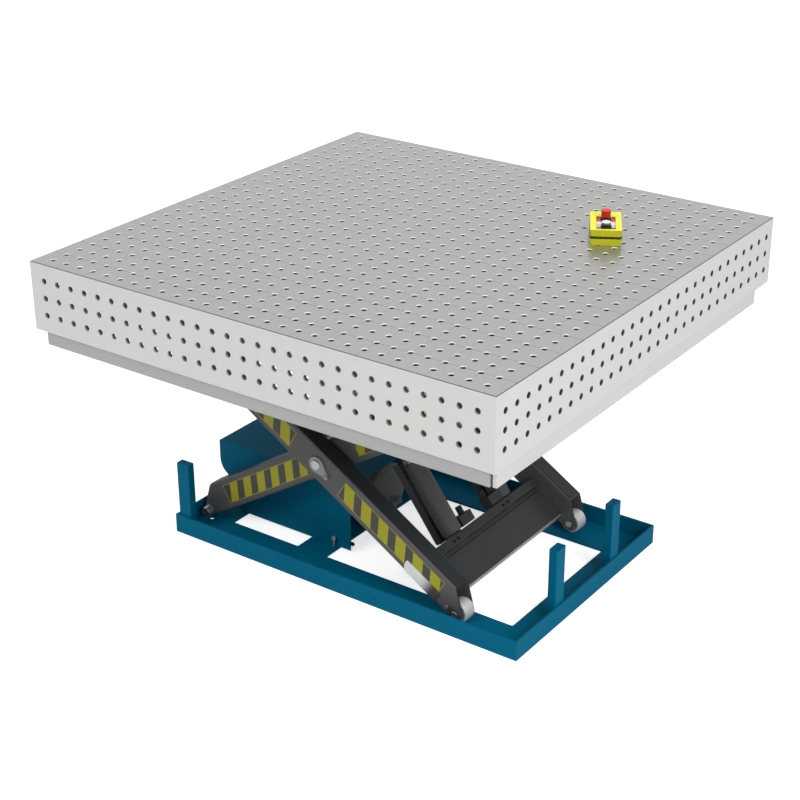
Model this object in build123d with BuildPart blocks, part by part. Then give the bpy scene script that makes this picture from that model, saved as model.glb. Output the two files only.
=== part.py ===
from build123d import *
import os
from math import asin, cos, degrees, hypot, radians, sin, sqrt

# Height adjustable welding table: a perforated steel table top carried by a hydraulic
# scissor lift in a low steel base frame. Millimetres, +Z up, +X along the base,
# origin on the floor under the middle of the table.

os.makedirs("parts", exist_ok=True)

# Table top
top_length = 1500.0
top_width = 1480.0
work_height = 960.0
top_thickness = 12.0
skirt_height = 200.0
skirt_thickness = 12.0
bore_diameter = 16.0
bore_pitch = 50.0
bore_margin = 40.0
skirt_bore_rows = 3
rib_thickness = 10.0
long_rib_steps = (5.5, 10.5)
cross_rib_steps = (4.5, 11.5)
plate_bevel = 1.0

# Lower frame under the table top
frame_height = 40.0
strip_thickness = 10.0
strip_inset = 5.0
front_strip_left = 37.0
front_strip_right = 15.0
side_strip_rear_gap = 74.0
track_thickness = 8.0
track_web = 8.0
track_margin = 8.0
left_bar_width = 50.0
right_bar_width = 36.0
bar_wall = 4.0

# Base frame
base_length = 1220.0
base_width = 775.0
rail_height = 60.0
rail_thickness = 6.0
front_flange = 134.5
rear_flange = 137.5
left_flange = 111.0
right_flange = 96.0
cross_member_gap = 41.0
cross_member_width = 106.0
anchor_hole_diameter = 17.0
anchor_hole_inset_x = 40.5
anchor_hole_inset_y = 117.0
rail_hole_diameter = 5.0
rail_hole_height = 27.0
rail_hole_pitch = 52.0
rail_hole_count = 6
rail_hole_centre_x = 10.0

# Support posts that carry the lowered table
post_top = 236.0
post_wide = 46.0
post_thin = 27.0
post_corner = 3.0
left_post_inset = 11.0
right_post_y = 155.0
post_hole_diameter = 8.0
post_hole_depth = 20.0

# Scissor arms
arm_reach = 1150.0
arm_width = 60.0
arm_depth = 95.0
arm_wall = 5.0
arm_corner = 7.0
arm_gap = 6.0
arm_edge_gap = 49.5
pivot_offset = 25.0
arm_square_end = 529.0
arm_cutback = 540.0
anchor_x = -570.0
axle_diameter = 22.0
centre_pin_diameter = 40.0
sleeve_wall = 8.0
running_gap = 0.05
side_gap = 0.5

# Rollers
roller_diameter = 65.0
roller_width = 44.0
roller_edge = 3.0
roll_gap = 0.2

# Pins, lugs and retainers
lug_width = 40.0
lug_radius = 18.0
pin_head_diameter = 30.0
pin_head_length = 17.0
boss_diameter = 36.0
boss_length = 10.0
low_head_length = 9.0
low_boss_length = 4.0
pin_proud = 3.0
pin_chamfer = 1.5
axle_collar_diameter = 34.0
axle_collar_width = 5.0
centre_head_diameter = 30.0
centre_head_proud = 4.0
washer_width = 10.0
washer_gap = 0.3
retainer_thickness = 5.0
centre_retainer_radius = 25.0
centre_retainer_tail = 47.0
centre_tail_angle = -8.0
axle_retainer_radius = 17.0
axle_retainer_tail = 32.0
axle_tail_angle = 176.0
retainer_tail_radius = 7.0
retainer_screw_diameter = 8.0
retainer_screw_head = 4.0
screw_head_diameter = 13.0

# Guards over the ends of the ram shaft
guard_start = 374.0
guard_end = 507.0
guard_low = -47.0
guard_high = -9.0
guard_thickness = 7.0
guard_corner = 5.0

# Cross members between the arms
torsion_tube_diameter = 90.0
torsion_tube_wall = 6.0
head_tube_diameter = 60.0
head_tube_along = 470.0
head_tube_wall = 5.0
beam_start = 437.0
beam_width = 101.0
beam_top = -11.0
beam_depth = 40.0
beam_wall = 4.0
beam_corner = 4.0

# Hydraulic rams
ram_spacing = 262.0
ram_shaft_along = 408.0
ram_shaft_across = -16.0
ram_shaft_diameter = 40.0
ram_eye_wall = 6.5
ram_eye_width = 44.0
ram_barrel_diameter = 52.0
ram_barrel_wall = 6.0
ram_barrel_start = 36.0
ram_barrel_end = 256.0
ram_gland_diameter = 58.0
ram_gland_length = 18.0
rod_diameter = 28.0
rod_eye_radius = 24.0
rod_eye_width = 29.0
rod_pin_diameter = 24.0
rod_tail = 172.0
piston_length = 24.0
piston_gap = 0.05
guide_bar_offset = 56.0
guide_bar_width = 26.0
guide_bar_start = 6.0
guide_bar_end = 268.0
guide_bar_corner = 6.0
bridge_thickness = 12.0
bridge_places = (60.0, 230.0)
bridge_length = 30.0
valve_along = 37.0
valve_across = -9.0
valve_length = 32.0
valve_depth = 36.0
valve_width = 34.0
valve_side_width = 25.0
valve_corner = 3.0
knob_diameter = 20.0
knob_length = 22.0

# Levers that the rams push
lever_pin_along = 130.0
lever_pin_across = 92.0
lever_thickness = 10.0
lever_root_radius = 52.0
lever_head_radius = 38.0
lever_head_shift = 8.0
lever_gap = 0.5
rod_pin_gap = 1.0
rod_pin_head = 6.0
rod_pin_head_diameter = 50.0
window_gap = 1.5
# Where the rod pin stands in its window, from its place in the pose shown:
# with the table at its lowest, near half height and at its highest.
window_travel = ((7.7, 19.8), (-4.1, -1.9), (20.8, 4.3))

# Hood and power unit between the arms
hood_left = 10.0
hood_length = 502.0
hood_width = 370.0
hood_top = 231.0
hood_sheet = 3.0
hood_lip = 13.0
hood_shoulder = 168.0
hood_bend = (5.4, 146.0)
hood_knee = (28.3, 121.0)
hood_foot_left = 80.0
tank_diameter = 170.0
tank_length = 165.0
tank_overhang = 16.0
tank_wall = 3.0
tank_end_round = 14.0
tank_port_diameter = 60.0
tank_stub_diameter = 14.0
tank_stub_length = 34.0
tank_stub_drop = 22.0
tank_nut_diameter = 22.0
tank_nut_length = 12.0
unit_axis_height = 132.0
cradle_thickness = 6.0
cradle_width = 120.0
cradle_height = 50.0
cradle_inset = 18.0
pump_length = 60.0
pump_width = 110.0
pump_height = 120.0
pump_round = 6.0
motor_diameter = 128.0
motor_length = 150.0
motor_cowl_length = 38.0
motor_rib_count = 18
motor_rib_width = 4.0
motor_rib_depth = 7.0
catch_pin_diameter = 6.0
catch_pin_head = 13.0
catch_pin_height = 33.0
catch_pin_x = -155.0
catch_pin_gap = 8.0
catch_pin_head_height = 9.0

# Hand control on the table top
control_x = 429.8
control_y = 323.6
control_angle = 30.0
control_length = 156.0
control_width = 87.0
control_height = 44.0
control_corner = 5.0
control_seam = 3.0
control_wall = 3.0
panel_recess = 3.0
panel_width = 54.0
panel_length = 104.0
panel_y = -15.0
panel_corner = 3.0
panel_thickness = 1.5
seal_inset = 1.0
seal_width = 3.5
stop_button_y = 20.5
stop_button_diameter = 27.0
stop_button_top = 70.0
stop_button_travel = 4.0
stop_collar_height = 6.0
lift_button_y = -49.0
lift_button_diameter = 25.0
lift_button_top = 60.0
lift_button_travel = 3.0
lift_collar_height = 8.0
button_stem_diameter = 12.0
button_stem_gap = 0.3
button_flange_diameter = 17.0
button_flange_thickness = 2.0
button_clearance = 0.5
button_edge = 1.5
collar_diameter = 30.0

# Sizes that follow from those above
track_level = work_height - skirt_height - frame_height
half_length = base_length / 2
half_width = base_width / 2
outer_arm_y = half_width - arm_edge_gap - arm_width / 2
inner_arm_y = outer_arm_y - arm_width - arm_gap
axle_height = rail_thickness + roller_diameter / 2 + roll_gap
head_height = track_level - roller_diameter / 2 - roll_gap
half_reach = arm_reach / 2
rest_angle = degrees(asin((head_height - axle_height) / arm_reach))
tube_angle = rest_angle - degrees(asin(pivot_offset / half_reach))
pivot_along = sqrt(half_reach**2 - pivot_offset**2)
centre_x = anchor_x + half_reach * cos(radians(rest_angle))
centre_height = (axle_height + head_height) / 2
roller_x = anchor_x + arm_reach * cos(radians(rest_angle))
inner_clear_y = inner_arm_y - arm_width / 2
arm_end_radius = arm_depth / 2 - pivot_offset
axle_bore = axle_diameter / 2 + running_gap
centre_bore = centre_pin_diameter / 2 + running_gap
skirt_top = work_height - top_thickness
skirt_bottom = work_height - skirt_height
skirt_plate_height = skirt_top - skirt_bottom
column_span = bore_pitch * int((top_length - 2 * bore_margin) / bore_pitch)
row_span = bore_pitch * int((top_width - 2 * bore_margin) / bore_pitch)
ram_y = ram_spacing / 2


def arm_plane(y, angle):
    """Plane through the centre pivot, x along an arm's tube and y across it."""
    slope = radians(angle)
    return Plane(origin=(centre_x, y, centre_height), x_dir=(cos(slope), 0, sin(slope)), z_dir=(0, -1, 0))


def side_plane(y):
    """Upright plane at y, with x along the base and y upward."""
    return Plane(origin=(0, y, 0), x_dir=(1, 0, 0), z_dir=(0, -1, 0))


def arm_point(angle, along, across):
    """Place of a point given in an arm's own directions."""
    slope = radians(angle)
    x = centre_x + along * cos(slope) - across * sin(slope)
    z = centre_height + along * sin(slope) + across * cos(slope)
    return x, z


# Table top plate: bores on a square grid
with BuildPart() as top_plate:
    with BuildSketch(Plane.XY.offset(skirt_top)):
        Rectangle(top_length, top_width)
    extrude(amount=top_thickness)
    chamfer(top_plate.faces().sort_by(Axis.Z)[-1].edges(), length=plate_bevel)
    with GridLocations(column_span, row_span, 2, 2):
        Hole(bore_diameter / 2)
top_plate.part.label = "top_plate"
export_step(top_plate.part, "parts/top_plate.step")


# Skirt plates: four upright plates under the edges of the top
def skirt_plate(face_plane, length, span):
    """One upright plate, flat on the face plane, with bores at its upper corners."""
    with BuildPart() as plate:
        with BuildSketch(face_plane):
            with Locations((0, skirt_bottom + skirt_plate_height / 2)):
                Rectangle(length, skirt_plate_height)
            with Locations((0, work_height - bore_pitch * (skirt_bore_rows + 1) / 2)):
                with GridLocations(span, bore_pitch * (skirt_bore_rows - 1), 2, 2):
                    Circle(bore_diameter / 2, mode=Mode.SUBTRACT)
        extrude(amount=-skirt_thickness)
    return plate.part


front_face = side_plane(-top_width / 2)
rear_face = Plane(origin=(0, top_width / 2, 0), x_dir=(-1, 0, 0), z_dir=(0, 1, 0))
right_face = Plane(origin=(top_length / 2, 0, 0), x_dir=(0, 1, 0), z_dir=(1, 0, 0))
left_face = Plane(origin=(-top_length / 2, 0, 0), x_dir=(0, -1, 0), z_dir=(-1, 0, 0))
end_skirt_length = top_width - 2 * skirt_thickness

front_skirt = skirt_plate(front_face, top_length, column_span)
front_skirt.label = "front_skirt"
export_step(front_skirt, "parts/front_skirt.step")

rear_skirt = skirt_plate(rear_face, top_length, column_span)
rear_skirt.label = "rear_skirt"
export_step(rear_skirt, "parts/rear_skirt.step")

left_skirt = skirt_plate(left_face, end_skirt_length, row_span)
left_skirt.label = "left_skirt"
export_step(left_skirt, "parts/left_skirt.step")

right_skirt = skirt_plate(right_face, end_skirt_length, row_span)
right_skirt.label = "right_skirt"
export_step(right_skirt, "parts/right_skirt.step")


# Ribs: upright strips under the top, between the rows of bores
inside_length = top_length - 2 * skirt_thickness
inside_width = top_width - 2 * skirt_thickness
rib_rows = sorted(sign * step * bore_pitch for step in long_rib_steps for sign in (-1, 1))
rib_lines = sorted(sign * step * bore_pitch for step in cross_rib_steps for sign in (-1, 1))

with BuildPart() as long_ribs:
    with BuildSketch(Plane.XY.offset(skirt_bottom)):
        with Locations(*[(0, y) for y in rib_rows]):
            Rectangle(inside_length, rib_thickness)
    extrude(amount=skirt_plate_height)
long_ribs.part.label = "long_ribs"
export_step(long_ribs.part, "parts/long_ribs.step")

bay_edges = [-inside_width / 2 - rib_thickness / 2] + rib_rows + [inside_width / 2 + rib_thickness / 2]
with BuildPart() as cross_ribs:
    with BuildSketch(Plane.XY.offset(skirt_bottom)):
        for lower, upper in zip(bay_edges, bay_edges[1:]):
            with Locations(*[(x, (lower + upper) / 2) for x in rib_lines]):
                Rectangle(rib_thickness, upper - lower - rib_thickness)
    extrude(amount=skirt_plate_height)
cross_ribs.part.label = "cross_ribs"
export_step(cross_ribs.part, "parts/cross_ribs.step")


# Lower frame: edge strips, roller tracks and the two hollow bars that rest on the posts
strip_y = top_width / 2 - strip_inset - strip_thickness / 2
strip_middle = (front_strip_left - front_strip_right) / 2
with BuildPart() as edge_strips:
    with BuildSketch(Plane.XY.offset(track_level)):
        with Locations((strip_middle, -strip_y), (strip_middle, strip_y)):
            Rectangle(top_length - front_strip_left - front_strip_right, strip_thickness)
        for side in (-1, 1):
            with Locations((side * (top_length - skirt_thickness) / 2, -side_strip_rear_gap / 2)):
                Rectangle(skirt_thickness, top_width - side_strip_rear_gap - 2 * strip_inset - strip_thickness)
    extrude(amount=frame_height)
edge_strips.part.label = "edge_strips"
export_step(edge_strips.part, "parts/edge_strips.step")

left_post_x = -half_length + left_post_inset + post_wide / 2
right_post_x = half_length - rail_thickness - post_thin / 2
right_bar_x = half_length - right_bar_width / 2
with BuildPart() as rest_bars:
    for middle, width in ((left_post_x, left_bar_width), (right_bar_x, right_bar_width)):
        with BuildSketch(side_plane(0)):
            with Locations((middle, track_level + frame_height / 2)):
                Rectangle(width, frame_height)
                Rectangle(width - 2 * bar_wall, frame_height - 2 * bar_wall, mode=Mode.SUBTRACT)
        extrude(amount=half_width, both=True)
rest_bars.part.label = "rest_bars"
export_step(rest_bars.part, "parts/rest_bars.step")

track_y = (inner_arm_y + outer_arm_y) / 2
track_left = left_post_x + left_bar_width / 2
track_right = half_length - right_bar_width
track_plane = Plane(origin=(track_left, 0, track_level), x_dir=(0, 1, 0), z_dir=(1, 0, 0))
with BuildPart() as roller_tracks:
    with BuildSketch(track_plane):
        with Locations((-track_y, track_thickness / 2), (track_y, track_thickness / 2)):
            Rectangle(2 * arm_width + arm_gap + 2 * track_margin, track_thickness)
        with Locations((-track_y, frame_height / 2), (track_y, frame_height / 2)):
            Rectangle(track_web, frame_height)
    extrude(amount=track_right - track_left)
roller_tracks.part.label = "roller_tracks"
export_step(roller_tracks.part, "parts/roller_tracks.step")


# Base frame: four bent rails and a cross member, laid on the floor
def long_rail(side, flange, hole_count):
    """Front or rear rail: an upright edge and a flat flange bent from one plate."""
    edge_y = side * half_width
    with BuildPart() as rail:
        with BuildSketch(Plane.XY):
            with Locations((0, edge_y - side * rail_thickness / 2)):
                Rectangle(base_length, rail_thickness)
        extrude(amount=rail_height)
        with BuildSketch(Plane.XY):
            with Locations((0, edge_y - side * flange / 2)):
                Rectangle(base_length - 2 * rail_thickness, flange)
            hole_y = edge_y - side * anchor_hole_inset_y
            with Locations((-half_length + anchor_hole_inset_x, hole_y), (half_length - anchor_hole_inset_x, hole_y)):
                Circle(anchor_hole_diameter / 2, mode=Mode.SUBTRACT)
        extrude(amount=rail_thickness)
        if hole_count:
            with BuildSketch(side_plane(edge_y)):
                with Locations((rail_hole_centre_x, rail_hole_height)):
                    with GridLocations(rail_hole_pitch, 1, hole_count, 1):
                        Circle(rail_hole_diameter / 2)
            extrude(amount=rail_thickness, both=True, mode=Mode.SUBTRACT)
    return rail.part


def end_rail(side, flange):
    """Left or right rail, fitted between the two long ones."""
    edge_x = side * half_length
    inner_length = base_width - 2 * rail_thickness
    flange_length = base_width - front_flange - rear_flange
    flange_y = (front_flange - rear_flange) / 2
    with BuildPart() as rail:
        with BuildSketch(Plane.XY):
            with Locations((edge_x - side * rail_thickness / 2, 0)):
                Rectangle(rail_thickness, inner_length)
        extrude(amount=rail_height)
        with BuildSketch(Plane.XY):
            with Locations((edge_x - side * flange / 2, flange_y)):
                Rectangle(flange, flange_length)
        extrude(amount=rail_thickness)
    return rail.part


front_rail = long_rail(-1, front_flange, rail_hole_count)
front_rail.label = "front_rail"
export_step(front_rail, "parts/front_rail.step")

rear_rail = long_rail(1, rear_flange, 0)
rear_rail.label = "rear_rail"
export_step(rear_rail, "parts/rear_rail.step")

left_rail = end_rail(-1, left_flange)
left_rail.label = "left_rail"
export_step(left_rail, "parts/left_rail.step")

right_rail = end_rail(1, right_flange)
right_rail.label = "right_rail"
export_step(right_rail, "parts/right_rail.step")

hood_left_x = -half_length + hood_left
hood_right_x = hood_left_x + hood_length
cross_member_x = hood_right_x - cross_member_gap - cross_member_width / 2
with BuildPart() as cross_member:
    with BuildSketch(Plane.XY):
        with Locations((cross_member_x, (front_flange - rear_flange) / 2)):
            Rectangle(cross_member_width, base_width - front_flange - rear_flange)
    extrude(amount=rail_thickness)
cross_member.part.label = "cross_member"
export_step(cross_member.part, "parts/cross_member.step")

# Support posts: solid bars with a small hole in the top
left_post_y = half_width - rail_thickness - post_thin / 2
with BuildPart() as support_posts:
    with BuildSketch(Plane.XY.offset(rail_thickness)):
        with Locations((left_post_x, -left_post_y), (left_post_x, left_post_y)):
            RectangleRounded(post_wide, post_thin, post_corner)
        with Locations((right_post_x, -right_post_y), (right_post_x, right_post_y)):
            RectangleRounded(post_thin, post_wide, post_corner)
    extrude(amount=post_top - rail_thickness)
    with BuildSketch(Plane.XY.offset(post_top)):
        with Locations((left_post_x, -left_post_y), (left_post_x, left_post_y)):
            Circle(post_hole_diameter / 2)
        with Locations((right_post_x, -right_post_y), (right_post_x, right_post_y)):
            Circle(post_hole_diameter / 2)
    extrude(amount=-post_hole_depth, mode=Mode.SUBTRACT)
support_posts.part.label = "support_posts"
export_step(support_posts.part, "parts/support_posts.step")


# Scissor arms: rectangular tubes, forked at both ends by cutting one wall back
def scissor_arm(y, angle, hand):
    """One arm. The hand is the side, along the tube, whose pivot lies below the axis."""
    low_end = (hand * pivot_along, -pivot_offset)
    high_end = (-hand * pivot_along, pivot_offset)
    plane = arm_plane(y, angle)
    section = Plane(origin=plane.origin, x_dir=(0, 1, 0), z_dir=plane.x_dir)
    cut_length = arm_reach / 2
    with BuildPart() as arm:
        with BuildSketch(section):
            RectangleRounded(arm_width, arm_depth, arm_corner)
            RectangleRounded(
                arm_width - 2 * arm_wall, arm_depth - 2 * arm_wall, arm_corner - arm_wall, mode=Mode.SUBTRACT
            )
        extrude(amount=half_reach + arm_depth / 2, both=True)
        with BuildSketch(plane):
            Rectangle(2 * arm_square_end, arm_depth)
            with Locations(low_end, high_end):
                Circle(arm_end_radius)
            make_hull()
        extrude(amount=arm_width, both=True, mode=Mode.INTERSECT)
        with BuildSketch(plane):
            with Locations(
                (hand * (arm_cutback + cut_length / 2), -arm_depth / 2),
                (-hand * (arm_cutback + cut_length / 2), arm_depth / 2),
            ):
                Rectangle(cut_length, 2 * arm_corner)
        extrude(amount=arm_width / 2 - arm_wall, both=True, mode=Mode.SUBTRACT)
        with BuildSketch(plane):
            Circle(centre_pin_diameter / 2 + sleeve_wall)
        extrude(amount=arm_width / 2 - arm_wall, both=True)
        with BuildSketch(plane):
            Circle(centre_bore)
            with Locations(low_end, high_end):
                Circle(axle_bore)
        extrude(amount=arm_width, both=True, mode=Mode.SUBTRACT)
    return arm.part


for name, side in (("front", -1), ("rear", 1)):
    inner_arm = scissor_arm(side * inner_arm_y, tube_angle, -1)
    inner_arm.label = f"inner_arm_{name}"
    export_step(inner_arm, f"parts/inner_arm_{name}.step")
    outer_arm = scissor_arm(side * outer_arm_y, -tube_angle, 1)
    outer_arm.label = f"outer_arm_{name}"
    export_step(outer_arm, f"parts/outer_arm_{name}.step")


# Lugs: tongues inside the fork of each fixed arm end
def fork_lugs(y, z, seat_z):
    """Two tongues with a bore at height z, standing or hanging on the seat level."""
    with BuildPart() as lugs:
        for side in (-1, 1):
            with BuildSketch(side_plane(side * y)):
                with Locations((anchor_x, z)):
                    Circle(lug_radius)
                with Locations((anchor_x, (z + seat_z) / 2)):
                    Rectangle(2 * lug_radius, abs(z - seat_z))
                with Locations((anchor_x, z)):
                    Circle(axle_bore, mode=Mode.SUBTRACT)
            extrude(amount=lug_width / 2, both=True)
    return lugs.part


anchor_lugs = fork_lugs(inner_arm_y, axle_height, rail_thickness)
anchor_lugs.label = "anchor_lugs"
export_step(anchor_lugs, "parts/anchor_lugs.step")

platform_lugs = fork_lugs(outer_arm_y, head_height, track_level)
platform_lugs.label = "platform_lugs"
export_step(platform_lugs, "parts/platform_lugs.step")


# Pins and axles
def fork_pins(x, z, y, boss, head):
    """Two pins along Y through the forks at y, with a boss and a head outside."""
    with BuildPart() as pins:
        for side in (-1, 1):
            outward = Plane(origin=(x, side * (y + arm_width / 2), z), x_dir=(1, 0, 0), z_dir=(0, side, 0))
            with BuildSketch(outward.offset(-arm_width - pin_proud)):
                Circle(axle_diameter / 2)
            extrude(amount=arm_width + pin_proud + side_gap)
            with BuildSketch(outward.offset(side_gap)):
                Circle(boss_diameter / 2)
            extrude(amount=boss)
            with BuildSketch(outward.offset(side_gap + boss)):
                Circle(pin_head_diameter / 2)
            extrude(amount=head)
            chamfer(pins.faces().sort_by(Axis.Y)[-1 if side > 0 else 0].edges(), length=pin_chamfer)
    return pins.part


anchor_pins = fork_pins(anchor_x, axle_height, inner_arm_y, boss_length, pin_head_length)
anchor_pins.label = "anchor_pins"
export_step(anchor_pins, "parts/anchor_pins.step")

platform_pins = fork_pins(anchor_x, head_height, outer_arm_y, low_boss_length, low_head_length)
platform_pins.label = "platform_pins"
export_step(platform_pins, "parts/platform_pins.step")


def roller_axles(x, z, start, end, collar):
    """Two roller axles along Y between start and end, on request with a collar inside."""
    with BuildPart() as axles:
        for side in (-1, 1):
            with BuildSketch(side_plane(side * (start + end) / 2)):
                with Locations((x, z)):
                    Circle(axle_diameter / 2)
            extrude(amount=(end - start) / 2, both=True)
        chamfer(axles.faces().filter_by(Axis.Y).edges(), length=pin_chamfer)
        for side in (-1, 1):
            if collar:
                with BuildSketch(side_plane(side * (inner_clear_y - axle_collar_width / 2))):
                    with Locations((x, z)):
                        Circle(axle_collar_diameter / 2)
                extrude(amount=axle_collar_width / 2, both=True)
    return axles.part


outer_face_y = outer_arm_y + arm_width / 2
inner_face_y = inner_arm_y + arm_width / 2
upper_axles = roller_axles(roller_x, head_height, inner_clear_y - axle_collar_width - pin_proud, inner_face_y + pin_proud, True)
upper_axles.label = "upper_axles"
export_step(upper_axles, "parts/upper_axles.step")

lower_axles = roller_axles(
    roller_x, axle_height, inner_face_y + arm_gap - pin_proud, outer_face_y + retainer_thickness + pin_proud, False
)
lower_axles.label = "lower_axles"
export_step(lower_axles, "parts/lower_axles.step")

with BuildPart() as centre_pins:
    for side in (-1, 1):
        outward = Plane(
            origin=(centre_x, side * (inner_clear_y - pin_proud), centre_height), x_dir=(1, 0, 0), z_dir=(0, side, 0)
        )
        pin_length = 2 * arm_width + arm_gap + pin_proud
        with BuildSketch(outward):
            Circle(centre_pin_diameter / 2)
        extrude(amount=pin_length)
        with BuildSketch(outward.offset(pin_length)):
            Circle(centre_head_diameter / 2)
        extrude(amount=retainer_thickness + centre_head_proud)
        chamfer(centre_pins.faces().sort_by(Axis.Y)[-1 if side > 0 else 0].edges(), length=pin_chamfer)
centre_pins.part.label = "centre_pins"
export_step(centre_pins.part, "parts/centre_pins.step")

with BuildPart() as centre_washers:
    for side in (-1, 1):
        with BuildSketch(side_plane(side * track_y)):
            with Locations((centre_x, centre_height)):
                Circle(centre_pin_diameter / 2 + washer_width)
                Circle(centre_bore, mode=Mode.SUBTRACT)
        extrude(amount=arm_gap / 2 - washer_gap, both=True)
centre_washers.part.label = "centre_washers"
export_step(centre_washers.part, "parts/centre_washers.step")


# Retainer plates: teardrops that stop the pins and axles of the outer arms from turning
low_end = (pivot_along, -pivot_offset)
retainer_places = (
    ((0, 0), centre_retainer_radius, centre_retainer_tail, centre_tail_angle, centre_head_diameter / 2),
    (low_end, axle_retainer_radius, axle_retainer_tail, axle_tail_angle, axle_bore),
)


def tail_place(place, tail, turn):
    """Where the screw of a retainer sits, given the place of its pin."""
    return place[0] + tail * cos(radians(turn)), place[1] + tail * sin(radians(turn))


with BuildPart() as retainer_plates:
    for side in (-1, 1):
        for place, radius, tail, turn, bore in retainer_places:
            with BuildSketch(arm_plane(side * outer_face_y, -tube_angle)):
                with Locations(place):
                    Circle(radius)
                with Locations(tail_place(place, tail, turn)):
                    Circle(retainer_tail_radius)
                make_hull()
                with Locations(place):
                    Circle(bore + running_gap, mode=Mode.SUBTRACT)
                with Locations(tail_place(place, tail, turn)):
                    Circle(retainer_screw_diameter / 2, mode=Mode.SUBTRACT)
            extrude(amount=-side * retainer_thickness)
retainer_plates.part.label = "retainer_plates"
export_step(retainer_plates.part, "parts/retainer_plates.step")

with BuildPart() as retainer_screws:
    for side in (-1, 1):
        for place, radius, tail, turn, bore in retainer_places:
            head_plane = arm_plane(side * (outer_face_y + retainer_thickness), -tube_angle)
            with BuildSketch(arm_plane(side * outer_face_y, -tube_angle)):
                with Locations(tail_place(place, tail, turn)):
                    Circle(retainer_screw_diameter / 2)
            extrude(amount=-side * retainer_thickness)
            with BuildSketch(head_plane):
                with Locations(tail_place(place, tail, turn)):
                    RegularPolygon(screw_head_diameter / 2, 6)
            extrude(amount=-side * retainer_screw_head)
retainer_screws.part.label = "retainer_screws"
export_step(retainer_screws.part, "parts/retainer_screws.step")

# Guards: plates over the ends of the ram shaft, on the outer faces of the outer arms
with BuildPart() as arm_guards:
    for side in (-1, 1):
        with BuildSketch(arm_plane(side * outer_face_y, -tube_angle)):
            with Locations(((guard_start + guard_end) / 2, (guard_low + guard_high) / 2)):
                RectangleRounded(guard_end - guard_start, guard_high - guard_low, guard_corner)
        extrude(amount=-side * guard_thickness)
arm_guards.part.label = "arm_guards"
export_step(arm_guards.part, "parts/arm_guards.step")

# Cross members: torsion tube and head tube of the inner arms, beam and shaft of the outer ones
with BuildPart() as torsion_tube:
    with BuildSketch(side_plane(0)):
        with Locations((centre_x, centre_height)):
            Circle(torsion_tube_diameter / 2)
            Circle(torsion_tube_diameter / 2 - torsion_tube_wall, mode=Mode.SUBTRACT)
    extrude(amount=inner_clear_y, both=True)
torsion_tube.part.label = "torsion_tube"
export_step(torsion_tube.part, "parts/torsion_tube.step")

with BuildPart() as head_tube:
    with BuildSketch(arm_plane(0, tube_angle)):
        with Locations((head_tube_along, 0)):
            Circle(head_tube_diameter / 2)
            Circle(head_tube_diameter / 2 - head_tube_wall, mode=Mode.SUBTRACT)
    extrude(amount=inner_clear_y, both=True)
head_tube.part.label = "head_tube"
export_step(head_tube.part, "parts/head_tube.step")

beam_half_span = outer_arm_y - arm_width / 2
with BuildPart() as cross_beam:
    with BuildSketch(arm_plane(0, -tube_angle)):
        with Locations((beam_start + beam_width / 2, beam_top - beam_depth / 2)):
            RectangleRounded(beam_width, beam_depth, beam_corner)
            RectangleRounded(
                beam_width - 2 * beam_wall, beam_depth - 2 * beam_wall, beam_corner / 2, mode=Mode.SUBTRACT
            )
    extrude(amount=beam_half_span, both=True)
cross_beam.part.label = "cross_beam"
export_step(cross_beam.part, "parts/cross_beam.step")

with BuildPart() as ram_shaft:
    with BuildSketch(arm_plane(0, -tube_angle)):
        with Locations((ram_shaft_along, ram_shaft_across)):
            Circle(ram_shaft_diameter / 2)
    extrude(amount=beam_half_span, both=True)
ram_shaft.part.label = "ram_shaft"
export_step(ram_shaft.part, "parts/ram_shaft.step")

# Levers on the torsion tube: two plates for each ram, with a shaped window for its pin
lever_offset = (rod_eye_width + lever_thickness) / 2 + lever_gap
lever_pin = (lever_pin_along, lever_pin_across)
window_places = [(lever_pin_along + step[0], lever_pin_across + step[1]) for step in window_travel]
with BuildPart() as ram_levers:
    for side in (-1, 1):
        for offset in (-lever_offset, lever_offset):
            with BuildSketch(arm_plane(side * ram_y + offset, tube_angle)):
                Circle(lever_root_radius)
                with Locations((lever_pin_along + lever_head_shift, lever_pin_across + lever_head_shift)):
                    Circle(lever_head_radius)
                make_hull()
                Circle(torsion_tube_diameter / 2, mode=Mode.SUBTRACT)
                with BuildSketch(mode=Mode.PRIVATE) as window:
                    with Locations(*window_places):
                        Circle(rod_pin_diameter / 2 + window_gap)
                    make_hull()
                add(window.sketch, mode=Mode.SUBTRACT)
            extrude(amount=lever_thickness / 2, both=True)
ram_levers.part.label = "ram_levers"
export_step(ram_levers.part, "parts/ram_levers.step")


# Rollers: solid steel wheels inside the forks
def roller(x, y, z):
    """One roller with rounded rims and a running fit on its axle."""
    with BuildPart() as wheel:
        with BuildSketch(side_plane(y)):
            with Locations((x, z)):
                Circle(roller_diameter / 2)
        extrude(amount=roller_width / 2, both=True)
        chamfer(wheel.faces().filter_by(Axis.Y).edges(), length=roller_edge)
        with BuildSketch(side_plane(y)):
            with Locations((x, z)):
                Circle(axle_bore)
        extrude(amount=roller_width, both=True, mode=Mode.SUBTRACT)
    return wheel.part


for name, side in (("front", -1), ("rear", 1)):
    upper_roller = roller(roller_x, side * inner_arm_y, head_height)
    upper_roller.label = f"upper_roller_{name}"
    export_step(upper_roller, f"parts/upper_roller_{name}.step")
    lower_roller = roller(roller_x, side * outer_arm_y, axle_height)
    lower_roller.label = f"lower_roller_{name}"
    export_step(lower_roller, f"parts/lower_roller_{name}.step")

# Hydraulic rams: each barrel turns on the ram shaft, each rod ends in the levers
foot_x, foot_z = arm_point(-tube_angle, ram_shaft_along, ram_shaft_across)
pin_x, pin_z = arm_point(tube_angle, lever_pin_along, lever_pin_across)
ram_length = hypot(pin_x - foot_x, pin_z - foot_z)
ram_direction = ((pin_x - foot_x) / ram_length, 0, (pin_z - foot_z) / ram_length)


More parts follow.
